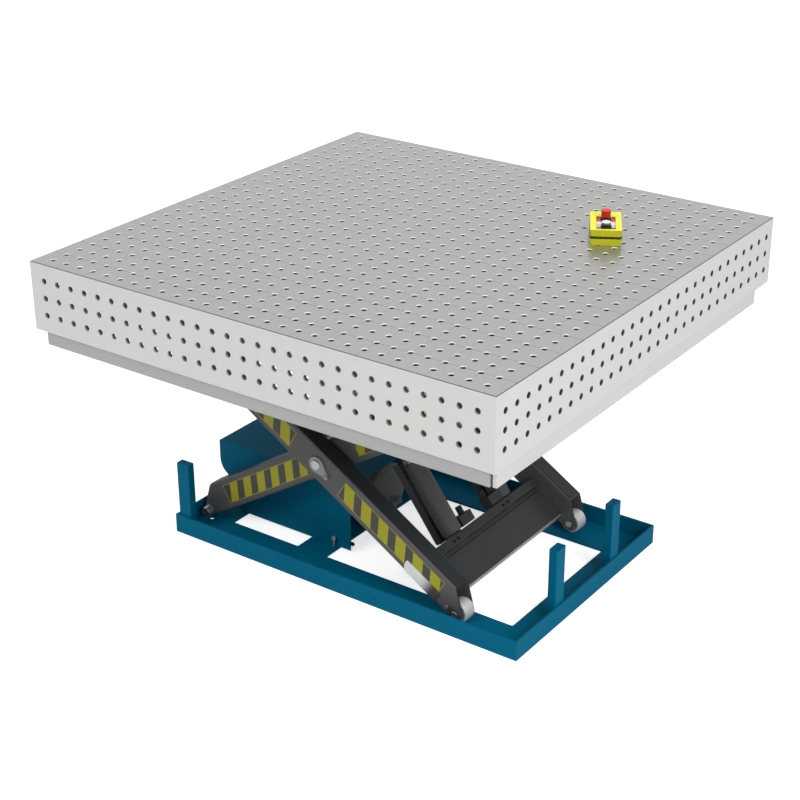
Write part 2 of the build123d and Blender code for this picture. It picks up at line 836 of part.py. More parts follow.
def ram_plane(y):
    """Plane through the ram shaft, x along the rams and y to their lower side."""
    return Plane(origin=(foot_x, y, foot_z), x_dir=ram_direction, z_dir=(0, -1, 0))


def ram_section(y, along):
    """Plane square to a ram at a distance along it."""
    origin = (foot_x + along * ram_direction[0], y, foot_z + along * ram_direction[2])
    return Plane(origin=origin, x_dir=(0, 1, 0), z_dir=ram_direction)


def ram_barrel(y):
    """Barrel with its eye on the ram shaft."""
    with BuildPart() as barrel:
        with BuildSketch(ram_plane(y)):
            Circle(ram_shaft_diameter / 2 + ram_eye_wall)
        extrude(amount=ram_eye_width / 2, both=True)
        with BuildSketch(ram_section(y, 0)):
            Circle(ram_barrel_diameter / 2)
        extrude(amount=ram_barrel_end)
        with BuildSketch(ram_section(y, ram_barrel_start)):
            Circle(ram_barrel_diameter / 2 - ram_barrel_wall)
        extrude(amount=ram_barrel_end - ram_barrel_start, mode=Mode.SUBTRACT)
        with BuildSketch(ram_plane(y)):
            Circle(ram_shaft_diameter / 2 + running_gap)
        extrude(amount=ram_barrel_diameter, both=True, mode=Mode.SUBTRACT)
    return barrel.part


def ram_rod(y):
    """Rod with its piston and the eye that takes the pin."""
    with BuildPart() as rod:
        with BuildSketch(ram_section(y, rod_tail)):
            Circle(ram_barrel_diameter / 2 - ram_barrel_wall - piston_gap)
        extrude(amount=piston_length)
        with BuildSketch(ram_section(y, rod_tail)):
            Circle(rod_diameter / 2)
        extrude(amount=ram_length - rod_tail)
        with BuildSketch(ram_plane(y)):
            with Locations((ram_length, 0)):
                Circle(rod_eye_radius)
        extrude(amount=rod_eye_width / 2, both=True)
        with BuildSketch(ram_plane(y)):
            with Locations((ram_length, 0)):
                Circle(rod_pin_diameter / 2)
        extrude(amount=rod_eye_width, both=True, mode=Mode.SUBTRACT)
    return rod.part


for name, side in (("front", -1), ("rear", 1)):
    barrel = ram_barrel(side * ram_y)
    barrel.label = f"ram_barrel_{name}"
    export_step(barrel, f"parts/ram_barrel_{name}.step")
    rod = ram_rod(side * ram_y)
    rod.label = f"ram_rod_{name}"
    export_step(rod, f"parts/ram_rod_{name}.step")

with BuildPart() as ram_glands:
    for side in (-1, 1):
        with BuildSketch(ram_section(side * ram_y, ram_barrel_end)):
            Circle(ram_gland_diameter / 2)
            Circle(rod_diameter / 2 + running_gap, mode=Mode.SUBTRACT)
        extrude(amount=ram_gland_length)
ram_glands.part.label = "ram_glands"
export_step(ram_glands.part, "parts/ram_glands.step")

with BuildPart() as rod_pins:
    for side in (-1, 1):
        with BuildSketch(ram_plane(side * ram_y)):
            with Locations((ram_length, 0)):
                Circle(rod_pin_diameter / 2)
        extrude(amount=lever_offset + lever_thickness / 2 + rod_pin_gap, both=True)
        for end in (-1, 1):
            head_y = side * ram_y + end * (lever_offset + lever_thickness / 2 + rod_pin_gap + rod_pin_head / 2)
            with BuildSketch(ram_plane(head_y)):
                with Locations((ram_length, 0)):
                    Circle(rod_pin_head_diameter / 2)
            extrude(amount=rod_pin_head / 2, both=True)
rod_pins.part.label = "rod_pins"
export_step(rod_pins.part, "parts/rod_pins.step")

# Guide bars: square bars beside the barrels, each held by two bridges
with BuildPart() as guide_bars:
    for side in (-1, 1):
        with BuildSketch(ram_plane(side * ram_y)):
            with Locations(((guide_bar_start + guide_bar_end) / 2, guide_bar_offset)):
                RectangleRounded(guide_bar_end - guide_bar_start, guide_bar_width, guide_bar_corner)
        extrude(amount=guide_bar_width / 2, both=True)
        for along in bridge_places:
            bridge_height = guide_bar_offset - ram_barrel_diameter / 2
            with BuildSketch(ram_plane(side * ram_y)):
                with Locations((along, guide_bar_offset - bridge_height / 2)):
                    Rectangle(bridge_length, bridge_height)
            extrude(amount=bridge_thickness / 2, both=True)
guide_bars.part.label = "guide_bars"
export_step(guide_bars.part, "parts/guide_bars.step")

# Valve blocks: on the sides of the barrels that face each other
valve_y = ram_y - ram_barrel_diameter / 2 - valve_width / 2
valve_side_y = valve_y - valve_width / 2 - valve_side_width / 2
with BuildPart() as valve_blocks:
    for side in (-1, 1):
        with BuildSketch(ram_plane(side * valve_y)):
            with Locations((valve_along, valve_across)):
                RectangleRounded(valve_length, valve_depth, valve_corner)
        extrude(amount=valve_width / 2, both=True)
        with BuildSketch(ram_plane(side * valve_side_y)):
            with Locations((valve_along, valve_across)):
                RectangleRounded(valve_length, valve_depth, valve_corner)
        extrude(amount=valve_side_width / 2, both=True)
        knob_plane = ram_section(side * valve_side_y, valve_along + valve_length / 2)
        with BuildSketch(knob_plane):
            Circle(knob_diameter / 2)
        extrude(amount=knob_length)
valve_blocks.part.label = "valve_blocks"
export_step(valve_blocks.part, "parts/valve_blocks.step")

# Hood over the power unit: bent sheet, open below and at its right end


def hood_block(side_y, sheet):
    """Solid with the hood's side outline, a sheet thickness smaller all round."""
    left = hood_left_x + sheet
    low = rail_thickness - sheet
    knee = (left + hood_knee[0], hood_knee[1])
    with BuildPart() as block:
        with BuildSketch(side_plane(side_y)):
            with BuildLine():
                Polyline(
                    knee,
                    (left + hood_foot_left, low),
                    (hood_right_x + sheet, low),
                    (hood_right_x + sheet, hood_top - sheet),
                    (left, hood_top - sheet),
                    (left, hood_shoulder),
                )
                ThreePointArc((left, hood_shoulder), (left + hood_bend[0], hood_bend[1]), knee)
            make_face()
        extrude(amount=2 * side_y)
    return block.part


with BuildPart() as power_hood:
    add(hood_block(hood_width / 2, 0))
    add(hood_block(hood_width / 2 - hood_sheet, hood_sheet), mode=Mode.SUBTRACT)
    with BuildSketch(Plane.XY.offset(hood_top)):
        with Locations((hood_right_x + hood_lip / 2, 0)):
            Rectangle(hood_lip, hood_width)
    extrude(amount=-hood_sheet)
power_hood.part.label = "power_hood"
export_step(power_hood.part, "parts/power_hood.step")

# Oil tank: a drum on a cradle, its left end open to the pump
tank_right_x = hood_right_x + tank_overhang
tank_left_x = tank_right_x - tank_length
tank_plane = Plane(origin=(tank_left_x, 0, unit_axis_height), x_dir=(0, 1, 0), z_dir=(1, 0, 0))
with BuildPart() as oil_tank:
    with BuildSketch(tank_plane):
        Circle(tank_diameter / 2)
    extrude(amount=tank_length)
    chamfer(oil_tank.faces().filter_by(Axis.X).edges(), length=tank_end_round)
    for x in (tank_left_x + cradle_inset, tank_right_x - tank_overhang - 2 * cradle_inset):
        with BuildSketch(Plane(origin=(x, 0, rail_thickness), x_dir=(0, 1, 0), z_dir=(1, 0, 0))):
            with Locations((0, cradle_height / 2)):
                Rectangle(cradle_width, cradle_height)
        extrude(amount=cradle_thickness)
    with BuildSketch(tank_plane.offset(tank_wall)):
        Circle(tank_diameter / 2 - tank_end_round)
    extrude(amount=tank_length - 2 * tank_wall, mode=Mode.SUBTRACT)
    with BuildSketch(tank_plane):
        Circle(tank_port_diameter / 2)
    extrude(amount=tank_wall, mode=Mode.SUBTRACT)
    with BuildSketch(tank_plane.offset(tank_length)):
        with Locations((0, -tank_stub_drop)):
            Circle(tank_stub_diameter / 2)
    extrude(amount=tank_stub_length)
    with BuildSketch(tank_plane.offset(tank_length + tank_stub_length - tank_nut_length)):
        with Locations((0, -tank_stub_drop)):
            RegularPolygon(tank_nut_diameter / 2, 6)
    extrude(amount=tank_nut_length)
oil_tank.part.label = "oil_tank"
export_step(oil_tank.part, "parts/oil_tank.step")

# Pump block between the tank and the motor
pump_plane = Plane(origin=(tank_left_x, 0, unit_axis_height), x_dir=(0, 1, 0), z_dir=(-1, 0, 0))
with BuildPart() as pump_block:
    with BuildSketch(pump_plane):
        RectangleRounded(pump_width, pump_height, pump_round)
    extrude(amount=pump_length)
pump_block.part.label = "pump_block"
export_step(pump_block.part, "parts/pump_block.step")

# Electric motor: ribbed barrel and a smooth cowl
motor_plane = pump_plane.offset(pump_length)
with BuildPart() as electric_motor:
    with BuildSketch(motor_plane):
        Circle(motor_diameter / 2 - motor_rib_depth)
        with PolarLocations(motor_diameter / 2 - motor_rib_depth, motor_rib_count):
            Rectangle(2 * motor_rib_depth, motor_rib_width)
    extrude(amount=motor_length)
    with BuildSketch(motor_plane.offset(motor_length)):
        Circle(motor_diameter / 2)
    extrude(amount=motor_cowl_length)
electric_motor.part.label = "electric_motor"
export_step(electric_motor.part, "parts/electric_motor.step")

# Hood bolts: two upright pins beside the hood
with BuildPart() as hood_bolts:
    for side in (-1, 1):
        with Locations((catch_pin_x, side * (hood_width / 2 + catch_pin_gap), rail_thickness)):
            Cylinder(catch_pin_diameter / 2, catch_pin_height, align=(Align.CENTER, Align.CENTER, Align.MIN))
        head_base = rail_thickness + catch_pin_height - catch_pin_head_height
        with Locations((catch_pin_x, side * (hood_width / 2 + catch_pin_gap), head_base)):
            Cylinder(catch_pin_head / 2, catch_pin_head_height, align=(Align.CENTER, Align.CENTER, Align.MIN))
hood_bolts.part.label = "hood_bolts"
export_step(hood_bolts.part, "parts/hood_bolts.step")


# Hand control: box in two halves with a seal, laid on the table top
def control_plane(height):
    """Flat plane at a height above the table top, turned with the box."""
    turn = radians(control_angle)
    return Plane(origin=(control_x, control_y, work_height + height), x_dir=(cos(turn), sin(turn), 0), z_dir=(0, 0, 1))


seam_bottom = (control_height - control_seam) / 2
seam_top = (control_height + control_seam) / 2
panel_top = control_height - panel_recess
lid_floor = panel_top - panel_thickness
lid_ceiling = lid_floor - control_wall
stem_bore = button_stem_diameter / 2 + button_stem_gap
with BuildPart() as control_base:
    with BuildSketch(control_plane(0)):
        RectangleRounded(control_width, control_length, control_corner)
    extrude(amount=seam_bottom)
    with BuildSketch(control_plane(control_wall)):
        Rectangle(control_width - 2 * control_corner, control_length - 2 * control_corner)
    extrude(amount=seam_bottom, mode=Mode.SUBTRACT)
control_base.part.label = "control_base"
export_step(control_base.part, "parts/control_base.step")

with BuildPart() as control_seal:
    with BuildSketch(control_plane(seam_bottom)):
        Rectangle(control_width - 2 * seal_inset - control_corner, control_length - 2 * seal_inset)
        Rectangle(control_width - 2 * seal_inset, control_length - 2 * seal_inset - control_corner)
        Rectangle(control_width - 2 * control_corner, control_length - 2 * control_corner, mode=Mode.SUBTRACT)
    extrude(amount=control_seam)
control_seal.part.label = "control_seal"
export_step(control_seal.part, "parts/control_seal.step")

with BuildPart() as control_lid:
    with BuildSketch(control_plane(seam_top)):
        RectangleRounded(control_width, control_length, control_corner)
    extrude(amount=control_height - seam_top)
    with BuildSketch(control_plane(seam_top)):
        Rectangle(control_width - 2 * control_corner, control_length - 2 * control_corner)
    extrude(amount=lid_ceiling - seam_top, mode=Mode.SUBTRACT)
    with BuildSketch(control_plane(lid_floor)):
        with Locations((0, panel_y)):
            RectangleRounded(panel_width, panel_length, panel_corner)
    extrude(amount=control_height - lid_floor, mode=Mode.SUBTRACT)
    with BuildSketch(control_plane(lid_ceiling)):
        with Locations((0, stop_button_y), (0, lift_button_y)):
            Circle(stem_bore)
    extrude(amount=control_height - lid_ceiling, mode=Mode.SUBTRACT)
control_lid.part.label = "control_lid"
export_step(control_lid.part, "parts/control_lid.step")

with BuildPart() as control_panel:
    with BuildSketch(control_plane(lid_floor)):
        with Locations((0, panel_y)):
            RectangleRounded(panel_width, panel_length, panel_corner)
        with Locations((0, stop_button_y), (0, lift_button_y)):
            Circle(stem_bore, mode=Mode.SUBTRACT)
    extrude(amount=panel_thickness)
control_panel.part.label = "control_panel"
export_step(control_panel.part, "parts/control_panel.step")

with BuildPart() as button_collars:
    for y, height in ((stop_button_y, stop_collar_height), (lift_button_y, lift_collar_height)):
        with BuildSketch(control_plane(panel_top)):
            with Locations((0, y)):
                Circle(collar_diameter / 2)
                Circle(stem_bore, mode=Mode.SUBTRACT)
        extrude(amount=height)
button_collars.part.label = "button_collars"
export_step(button_collars.part, "parts/button_collars.step")


def push_button(y, diameter, top, collar_height, travel):
    """Button cap on a stem, with a flange below the lid that keeps it in."""
    cap_base = panel_top + collar_height + travel + button_clearance
    flange_top = lid_ceiling - button_clearance
    with BuildPart() as button:
        with BuildSketch(control_plane(cap_base)):
            with Locations((0, y)):
                Circle(diameter / 2)
        extrude(amount=top - cap_base)
        chamfer(button.faces().sort_by(Axis.Z)[-1].edges(), length=button_edge)
        with BuildSketch(control_plane(flange_top)):
            with Locations((0, y)):
                Circle(button_stem_diameter / 2)
        extrude(amount=cap_base - flange_top)
        with BuildSketch(control_plane(flange_top - button_flange_thickness)):
            with Locations((0, y)):
                Circle(button_flange_diameter / 2)
        extrude(amount=button_flange_thickness)
    return button.part


stop_button = push_button(
    stop_button_y, stop_button_diameter, stop_button_top, stop_collar_height, stop_button_travel
)
stop_button.label = "stop_button"
export_step(stop_button, "parts/stop_button.step")

lift_button = push_button(
    lift_button_y, lift_button_diameter, lift_button_top, lift_collar_height, lift_button_travel
)
lift_button.label = "lift_button"
export_step(lift_button, "parts/lift_button.step")
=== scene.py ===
import bpy
from math import asin, cos, pi, radians, sin
from mathutils import Matrix, Vector


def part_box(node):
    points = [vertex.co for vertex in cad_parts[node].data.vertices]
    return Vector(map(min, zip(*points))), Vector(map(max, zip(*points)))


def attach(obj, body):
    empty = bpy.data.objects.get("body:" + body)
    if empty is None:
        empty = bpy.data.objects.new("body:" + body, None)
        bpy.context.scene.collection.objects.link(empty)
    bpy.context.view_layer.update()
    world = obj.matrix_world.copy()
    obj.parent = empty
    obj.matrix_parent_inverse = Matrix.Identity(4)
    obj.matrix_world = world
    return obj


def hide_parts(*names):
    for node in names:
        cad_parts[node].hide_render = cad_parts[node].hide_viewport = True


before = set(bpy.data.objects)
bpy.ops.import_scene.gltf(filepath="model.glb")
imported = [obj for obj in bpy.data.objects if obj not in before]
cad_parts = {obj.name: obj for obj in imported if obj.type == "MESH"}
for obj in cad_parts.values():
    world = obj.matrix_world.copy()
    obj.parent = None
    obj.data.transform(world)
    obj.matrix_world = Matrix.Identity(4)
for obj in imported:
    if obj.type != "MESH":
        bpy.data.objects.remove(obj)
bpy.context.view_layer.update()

# Camera, floor and studio light
# The table stands on a pale floor in even studio light, seen from its front right
# corner and a little above the top. The lamps are large and soft.
def look_from(azimuth, elevation, roll, place, focal_pixels, frame_pixels):
    """Camera at a place, looking back along an azimuth and elevation."""
    film_width, farthest = 36, 50
    a, e, t = radians(azimuth), radians(elevation), radians(roll)
    back = Vector((sin(a) * cos(e), -cos(a) * cos(e), sin(e)))
    right = Vector((cos(a), sin(a), 0))
    up = back.cross(right)
    tilted_right = cos(t) * right + sin(t) * up
    tilted_up = cos(t) * up - sin(t) * right
    data = bpy.data.cameras.new("studio_camera")
    data.sensor_width = film_width
    data.lens = film_width * focal_pixels / frame_pixels
    data.clip_end = farthest
    camera = bpy.data.objects.new("studio_camera", data)
    bpy.context.scene.collection.objects.link(camera)
    axes = Matrix((tilted_right, tilted_up, back)).transposed().to_4x4()
    camera.matrix_world = Matrix.Translation(place) @ axes
    bpy.context.scene.camera = camera


look_from(
    azimuth=35.612, elevation=25.416, roll=-0.216, place=(2.6065, -3.7052, 2.6118),
    focal_pixels=1717.9, frame_pixels=800,
)
bpy.context.scene.view_settings.view_transform = "Standard"


class Wire:
    """A shader socket; an expression on it adds the Math nodes that it needs."""

    def __init__(self, board, socket):
        self.board = board
        self.socket = socket

    def maths(self, operation, *values):
        return self.board.node("Math", {"operation": operation}, dict(enumerate(values)))

    def __add__(self, other):
        return self.maths("ADD", self, other)

    def __sub__(self, other):
        return self.maths("SUBTRACT", self, other)

    def __rsub__(self, other):
        return self.maths("SUBTRACT", other, self)

    def __mul__(self, other):
        return self.maths("MULTIPLY", self, other)

    def __lt__(self, other):
        return self.maths("LESS_THAN", self, other)

    def __gt__(self, other):
        return self.maths("GREATER_THAN", self, other)

    def __abs__(self):
        return self.maths("ABSOLUTE", self)

    def __mod__(self, other):
        return self.maths("FLOORED_MODULO", self, other)

    __radd__ = __add__
    __rmul__ = __mul__

    def low(self, other):
        return self.maths("MINIMUM", self, other)

    def high(self, other):
        return self.maths("MAXIMUM", self, other)


class Board:
    """The nodes of one material or of the world."""

    def __init__(self, owner):
        owner.use_nodes = True
        self.tree = owner.node_tree
        self.tree.nodes.clear()
        self.material = owner

    def node(self, kind, settings=None, inputs=None, output=0):
        """Adds a node with its settings first, then the values or links of its sockets."""
        made = self.tree.nodes.new("ShaderNode" + kind)
        for key, value in (settings or {}).items():
            setattr(made, key, value)
        for key, value in (inputs or {}).items():
            if isinstance(value, Wire):
                self.tree.links.new(value.socket, made.inputs[key])
            else:
                made.inputs[key].default_value = value
        return Wire(self, made.outputs[output]) if len(made.outputs) else None

    def place(self):
        """Coordinates in metres in the object's own frame."""
        return self.node("TexCoord", output="Object")

    def parts(self, vector):
        """The three numbers of a vector, as wires."""
        first = self.node("SeparateXYZ", {}, {0: vector})
        return [Wire(self, socket) for socket in first.socket.node.outputs]

    def facing(self):
        """The three numbers of the surface's own normal, as wires."""
        return self.parts(self.node("TexCoord", output="Normal"))

    def stretch(self, vector, scale):
        return self.node("VectorMath", {"operation": "MULTIPLY"}, {0: vector, 1: scale})

    def noise(self, place, scale, detail=3.0, roughness=0.5):
        return self.node("TexNoise", {}, {
            "Vector": place, "Scale": scale, "Detail": detail, "Roughness": roughness,
        })

    def fade(self, value, start, end, low=0.0, high=1.0, ease="LINEAR"):
        """Number that goes from low to high while the value goes from start to end."""
        inputs = {0: value, 1: start, 2: end, 3: low, 4: high}
        return self.node("MapRange", {"interpolation_type": ease}, inputs)

    def mix(self, factor, first, second):
        """Colour that goes from the first to the second with the factor."""
        return self.node("Mix", {"data_type": "RGBA"}, {0: factor, 6: first, 7: second}, 2)

    def bump(self, height, strength, distance):
        return self.node("Bump", {}, {
            "Height": height, "Strength": strength, "Distance": distance,
        })

    def shade(self, **sockets):
        """Ends the material in one Principled shader; names use _ for a blank."""
        inputs = {key.replace("_", " "): value for key, value in sockets.items()}
        shader = self.node("BsdfPrincipled", {}, inputs)
        self.node("OutputMaterial", {}, {"Surface": shader})
        return self.material


def gray(value):
    return (value, value, value, 1)


def toned(color, factor):
    """The same colour, darker or lighter by a factor."""
    return tuple(min(1, part * factor) for part in color[:3]) + (1,)


world = bpy.data.worlds.new("studio_world")
bpy.context.scene.world = world
sky = Board(world)
by_camera = sky.node("LightPath", output="Is Camera Ray")
by_gloss = sky.node("LightPath", output="Is Glossy Ray")
sky_height = sky.parts(sky.node("TexCoord", output="Generated"))[2]
room_light = 0.62 * sky.fade(sky_height, -0.2, 0.9, 0.62, 0.95)
glow = by_camera.high(by_gloss * 0.86).high(room_light)
backdrop = sky.node("Background", {}, {"Color": gray(1), "Strength": glow})
sky.node("OutputWorld", {}, {"Surface": backdrop})


def soft_lamp(name, place, target, size, power, mirrored=False):
    """Square area lamp that faces a target; bright metal mirrors it only if asked."""
    data = bpy.data.lights.new(name, "AREA")
    data.shape = "SQUARE"
    data.size = size
    data.energy = power
    lamp = bpy.data.objects.new(name, data)
    bpy.context.scene.collection.objects.link(lamp)
    lamp.location = place
    lamp.visible_glossy = mirrored
    aim = Vector(target) - Vector(place)
    lamp.rotation_euler = aim.to_track_quat("-Z", "Y").to_euler()


soft_lamp("key_lamp", (7.2, -2.7, 5.4), (0, 0, 0.6), size=4.2, power=570)
soft_lamp("front_lamp", (-1.6, -5.6, 5.6), (0, 0, 0.6), size=3.6, power=230)
soft_lamp("top_lamp", (-0.8, 2.2, 7.0), (0, 0, 0.9), size=4.0, power=70, mirrored=True)


def from_points(name, points, faces, finishes, kinds=None, smooth=None, sharp=None):
    """Object from points and faces; edges that turn by over sharp degrees stay sharp."""
    mesh = bpy.data.meshes.new(name)
    mesh.from_pydata(points, [], faces)
    for finish in finishes:
        mesh.materials.append(finish)
    if kinds:
        mesh.polygons.foreach_set("material_index", kinds)
    if smooth:
        mesh.polygons.foreach_set("use_smooth", smooth)
    mesh.update()
    if sharp:
        mesh.set_sharp_from_angle(angle=radians(sharp))
    piece = bpy.data.objects.new(name, mesh)
    bpy.context.scene.collection.objects.link(piece)
    return piece


ground = Board(bpy.data.materials.new("studio_floor"))
camera_lift = ground.node("LightPath", output="Is Camera Ray") * 0.6
pale = ground.node("BsdfDiffuse", {}, {"Color": gray(0.86)})
lifted = ground.node("Emission", {}, {"Color": gray(1), "Strength": camera_lift})
ground.node("OutputMaterial", {}, {"Surface": ground.node("AddShader", {}, {0: pale, 1: lifted})})
floor_reach, floor_drop = 9.0, 0.0004
floor_signs = ((-1, -1), (1, -1), (1, 1), (-1, 1))
floor_corners = [(a * floor_reach, b * floor_reach, 0) for a, b in floor_signs]
floor = from_points("studio_floor", floor_corners, [(0, 1, 2, 3)], [ground.material])
floor.location.z = -floor_drop

# Table top and skirts
# The top is a 12 mm steel plate with a square grid of bores, ground to a satin finish
# and scribed with a line every 100 mm. Four skirt plates with three rows of the same
# bores are welded under its edges.
half_length, half_width, top_level, skirt_middle = 0.75, 0.74, 0.96, 0.86
plate_thickness, bore_columns = 0.012, 29
bore_pitch, bore_radius, bore_rim = 0.05, 0.008, 0.0008
side_points = 5
ring_points = 4 * side_points
on_face, on_side, in_bore, inside, on_edge = range(5)


def table_steel(name, base, flow, shine, gloss, scribed=False):
    """Ground steel, with fine scratches along the flow direction."""
    b = Board(bpy.data.materials.new(name))
    place = b.place()
    x, y, _ = b.parts(place)
    cloud = b.noise(place, 2.6, 4, 0.6)
    grain = b.noise(b.stretch(place, flow), 1.0, 5, 0.65)
    smear = b.noise(b.stretch(place, (7, 9, 8)), 1.0, 3, 0.55)
    dull = (base * 0.93, base * 0.925, base * 0.91, 1)
    bright = (base * 1.06, base * 1.055, base * 1.04, 1)
    tone = b.mix((grain - 0.5) * 0.9 + 0.5, dull, bright)
    tone = b.mix((cloud - 0.35) * 0.4, tone, bright)
    height = grain * 0.25
    if scribed:
        lines_per_metre, faint = 10, 0.6
        line_across = abs((x * lines_per_metre) % 1.0 - 0.5) < 0.006
        line_along = abs((y * lines_per_metre) % 1.0 - 0.5) < 0.0068
        line = (line_across * faint).high(line_along)
        tone = b.mix(line * 0.85, tone, gray(0.05))
        height = height - line * 0.6
    return b.shade(
        Base_Color=tone, Metallic=shine, Roughness=gloss + smear * 0.1 + grain * 0.06,
        Normal=b.bump(height, 0.2, 0.0005),
    )


def bore_steel(name, bright, dark, rim_level=None):
    """Reamed bore wall in dark tones as painted shade in the bore; with a rim level, a bright band
    under the rim is a painted highlight and the wall below it turns dark as painted shade.
    """
    painted_highlight_depth, painted_shade_depth = 0.0006, 0.0036
    b = Board(bpy.data.materials.new(name))
    place = b.place()
    rings = b.noise(b.stretch(place, (40, 40, 900)), 1.0, 2)
    pale_part = rings
    if rim_level:
        # Painted highlight just under the rim, fading to painted shade deeper in the bore.
        pale_part = b.fade(b.parts(place)[2], rim_level - painted_shade_depth, rim_level - painted_highlight_depth)
    return b.shade(
        Base_Color=b.mix(pale_part, gray(dark), gray(bright)), Metallic=0.1,
        Roughness=rings * 0.1 + 0.45, Normal=b.bump(rings, 0.1, 0.0002),
    )


def bored_plate(name, rows, margins, origin, across, upward, finishes, edge):
    """Plate with real bores; its finishes are for face, sides, bores, inside and edges."""
    left, right, low, high = margins
    span_a = [(i - bore_columns / 2) * bore_pitch for i in range(bore_columns + 1)]
    span_b = [(i - rows / 2) * bore_pitch for i in range(rows + 1)]
    edges_a = [span_a[0] - left] + span_a + [span_a[-1] + right]
    edges_b = [span_b[0] - low] + span_b + [span_b[-1] + high]
    across, upward = Vector(across), Vector(upward)
    outward = across.cross(upward)
    points, index, faces, kinds = [], {}, [], []

    def vertex(a, b, depth):
        key = (round(a, 6), round(b, 6), round(depth, 6))
        if key not in index:
            index[key] = len(points)
            points.append(Vector(origin) + across * a + upward * b - outward * depth)
        return index[key]

    def inset(value, ends, amount):
        if abs(value - ends[0]) < 1e-6:
            return value + amount
        if abs(value - ends[-1]) < 1e-6:
            return value - amount
        return value

    def border(i, j, amount):
        """Places round a cell, in turn from its upper right corner."""
        a0, a1 = (inset(v, edges_a, amount) for v in edges_a[i:i + 2])
        b0, b1 = (inset(v, edges_b, amount) for v in edges_b[j:j + 2])
        corners = [(a1, b1), (a0, b1), (a0, b0), (a1, b0)]
        ring = []
        for (pa, pb), (qa, qb) in zip(corners, corners[1:] + corners[:1]):
            steps = [k / side_points for k in range(side_points)]
            ring += [(pa + (qa - pa) * s, pb + (qb - pb) * s) for s in steps]
        return ring

    def circle(i, j, size, depth):
        a, b = (edges_a[i] + edges_a[i + 1]) / 2, (edges_b[j] + edges_b[j + 1]) / 2
        turns = [pi / 4 + 2 * pi * k / ring_points for k in range(ring_points)]
        return [vertex(a + size * cos(t), b + size * sin(t), depth) for t in turns]

    def band(outer, inner, kind):
        for k in range(ring_points):
            n = (k + 1) % ring_points
            faces.append((outer[k], outer[n], inner[n], inner[k]))
            kinds.append(kind)

    last_a, last_b = len(edges_a) - 2, len(edges_b) - 2
    for i in range(last_a + 1):
        for j in range(last_b + 1):
            whole = border(i, j, 0)
            front = [vertex(a, b, 0) for a, b in border(i, j, edge)]
            back = [vertex(a, b, plate_thickness) for a, b in whole]
            if 0 < i < last_a and 0 < j < last_b:
                rim = circle(i, j, bore_radius + bore_rim, 0)
                throat = circle(i, j, bore_radius, bore_rim)
                mouth = circle(i, j, bore_radius, plate_thickness)
                band(front, rim, on_face)
                band(rim, throat, in_bore)
                band(throat, mouth, in_bore)
                band(mouth, back, inside)
            else:
                faces.append(tuple(front))
                faces.append(tuple(reversed(back)))
                kinds += [on_face, inside]
            outside = ((i == last_a, 3), (j == last_b, 0), (i == 0, 1), (j == 0, 2))
            for side in [side for is_outside, side in outside if is_outside]:
                for k in range(side_points * side, side_points * (side + 1)):
                    n = (k + 1) % ring_points
                    here, there = vertex(*whole[k], edge), vertex(*whole[n], edge)
                    faces.append((front[n], front[k], here, there))
                    faces.append((there, here, back[k], back[n]))
                    kinds += [on_edge, on_side]
    smooth = [kind == in_bore for kind in kinds]
    return from_points(name, points, faces, finishes, kinds, smooth)


ground_top = table_steel("table_top_steel", 0.455, (900, 30, 30), 0.85, 0.22, scribed=True)
skirt_steel = table_steel("skirt_steel", 0.54, (30, 30, 700), 0.3, 0.34)
# The bore walls are painted darker than the plates round them as painted shade; the top bores also
# get a painted highlight at the rim.
top_bores = bore_steel("top_bore_wall", 0.8, 0.018, top_level)
skirt_bores = bore_steel("skirt_bore_wall", 0.3, 0.16)
end_bores = bore_steel("end_skirt_bore_wall", 0.08, 0.04)
mill_scale = table_steel("mill_scale_inside", 0.3, (30, 30, 60), 0.2, 0.5)
# The top plate's chamfered edges get a dark grey: a painted shade line along the edge.
painted_edge_shade = table_steel("edge_painted_shade", 0.12, (60, 60, 60), 0.3, 0.4)
top_look = ((ground_top, skirt_steel, top_bores, mill_scale, painted_edge_shade), 0.0018)
long_look = ((skirt_steel, skirt_steel, skirt_bores, mill_scale, skirt_steel), 0.0002)
end_look = ((skirt_steel, skirt_steel, end_bores, mill_scale, skirt_steel), 0.0002)
top_margins = (0.025, 0.025, 0.015, 0.015)
long_margins = (0.025, 0.025, 0.025, 0.013)
end_margins = (0.003, 0.003, 0.025, 0.013)
front, rear = (0, -half_width, skirt_middle), (0, half_width, skirt_middle)
right, left = (half_length, 0, skirt_middle), (-half_length, 0, skirt_middle)
plates = (
    ("bored_top", "top_plate", 29, top_margins, (0, 0, top_level), (1, 0, 0), (0, 1, 0), top_look),
    ("bored_front_skirt", "front_skirt", 3, long_margins, front, (1, 0, 0), (0, 0, 1), long_look),
    ("bored_rear_skirt", "rear_skirt", 3, long_margins, rear, (-1, 0, 0), (0, 0, 1), long_look),
    ("bored_right_skirt", "right_skirt", 3, end_margins, right, (0, 1, 0), (0, 0, 1), end_look),
    ("bored_left_skirt", "left_skirt", 3, end_margins, left, (0, -1, 0), (0, 0, 1), end_look),
)
for name, node, rows, margins, origin, across, upward, (finishes, edge) in plates:
    plate = bored_plate(name, rows, margins, origin, across, upward, finishes, edge)
    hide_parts(node)
    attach(plate, "platform")

# Ribs and lower frame of the table
# Plain steel ribs are welded under the top between the bores. Pale strips run under the
# skirts, and two hollow bars and two flanged tracks carry the rollers and posts. The bars and
# all strips but the right one are darkened with painted shade from under the top.
def rolled_steel(name, color, rough, shine):
    """Steel as rolled or painted, with faint clouds and a fine grain."""
    b = Board(bpy.data.materials.new(name))
    place = b.place()
    cloud = b.noise(place, 5, 4, 0.6)
    grain = b.noise(b.stretch(place, (60, 60, 240)), 1.0, 3, 0.6)
    return b.shade(
        Base_Color=b.mix(cloud * 0.7 + grain * 0.3, toned(color, 0.86), color), Metallic=shine,
        Roughness=rough + (cloud - 0.5) * 0.16, Normal=b.bump(grain, 0.12, 0.0005),
    )


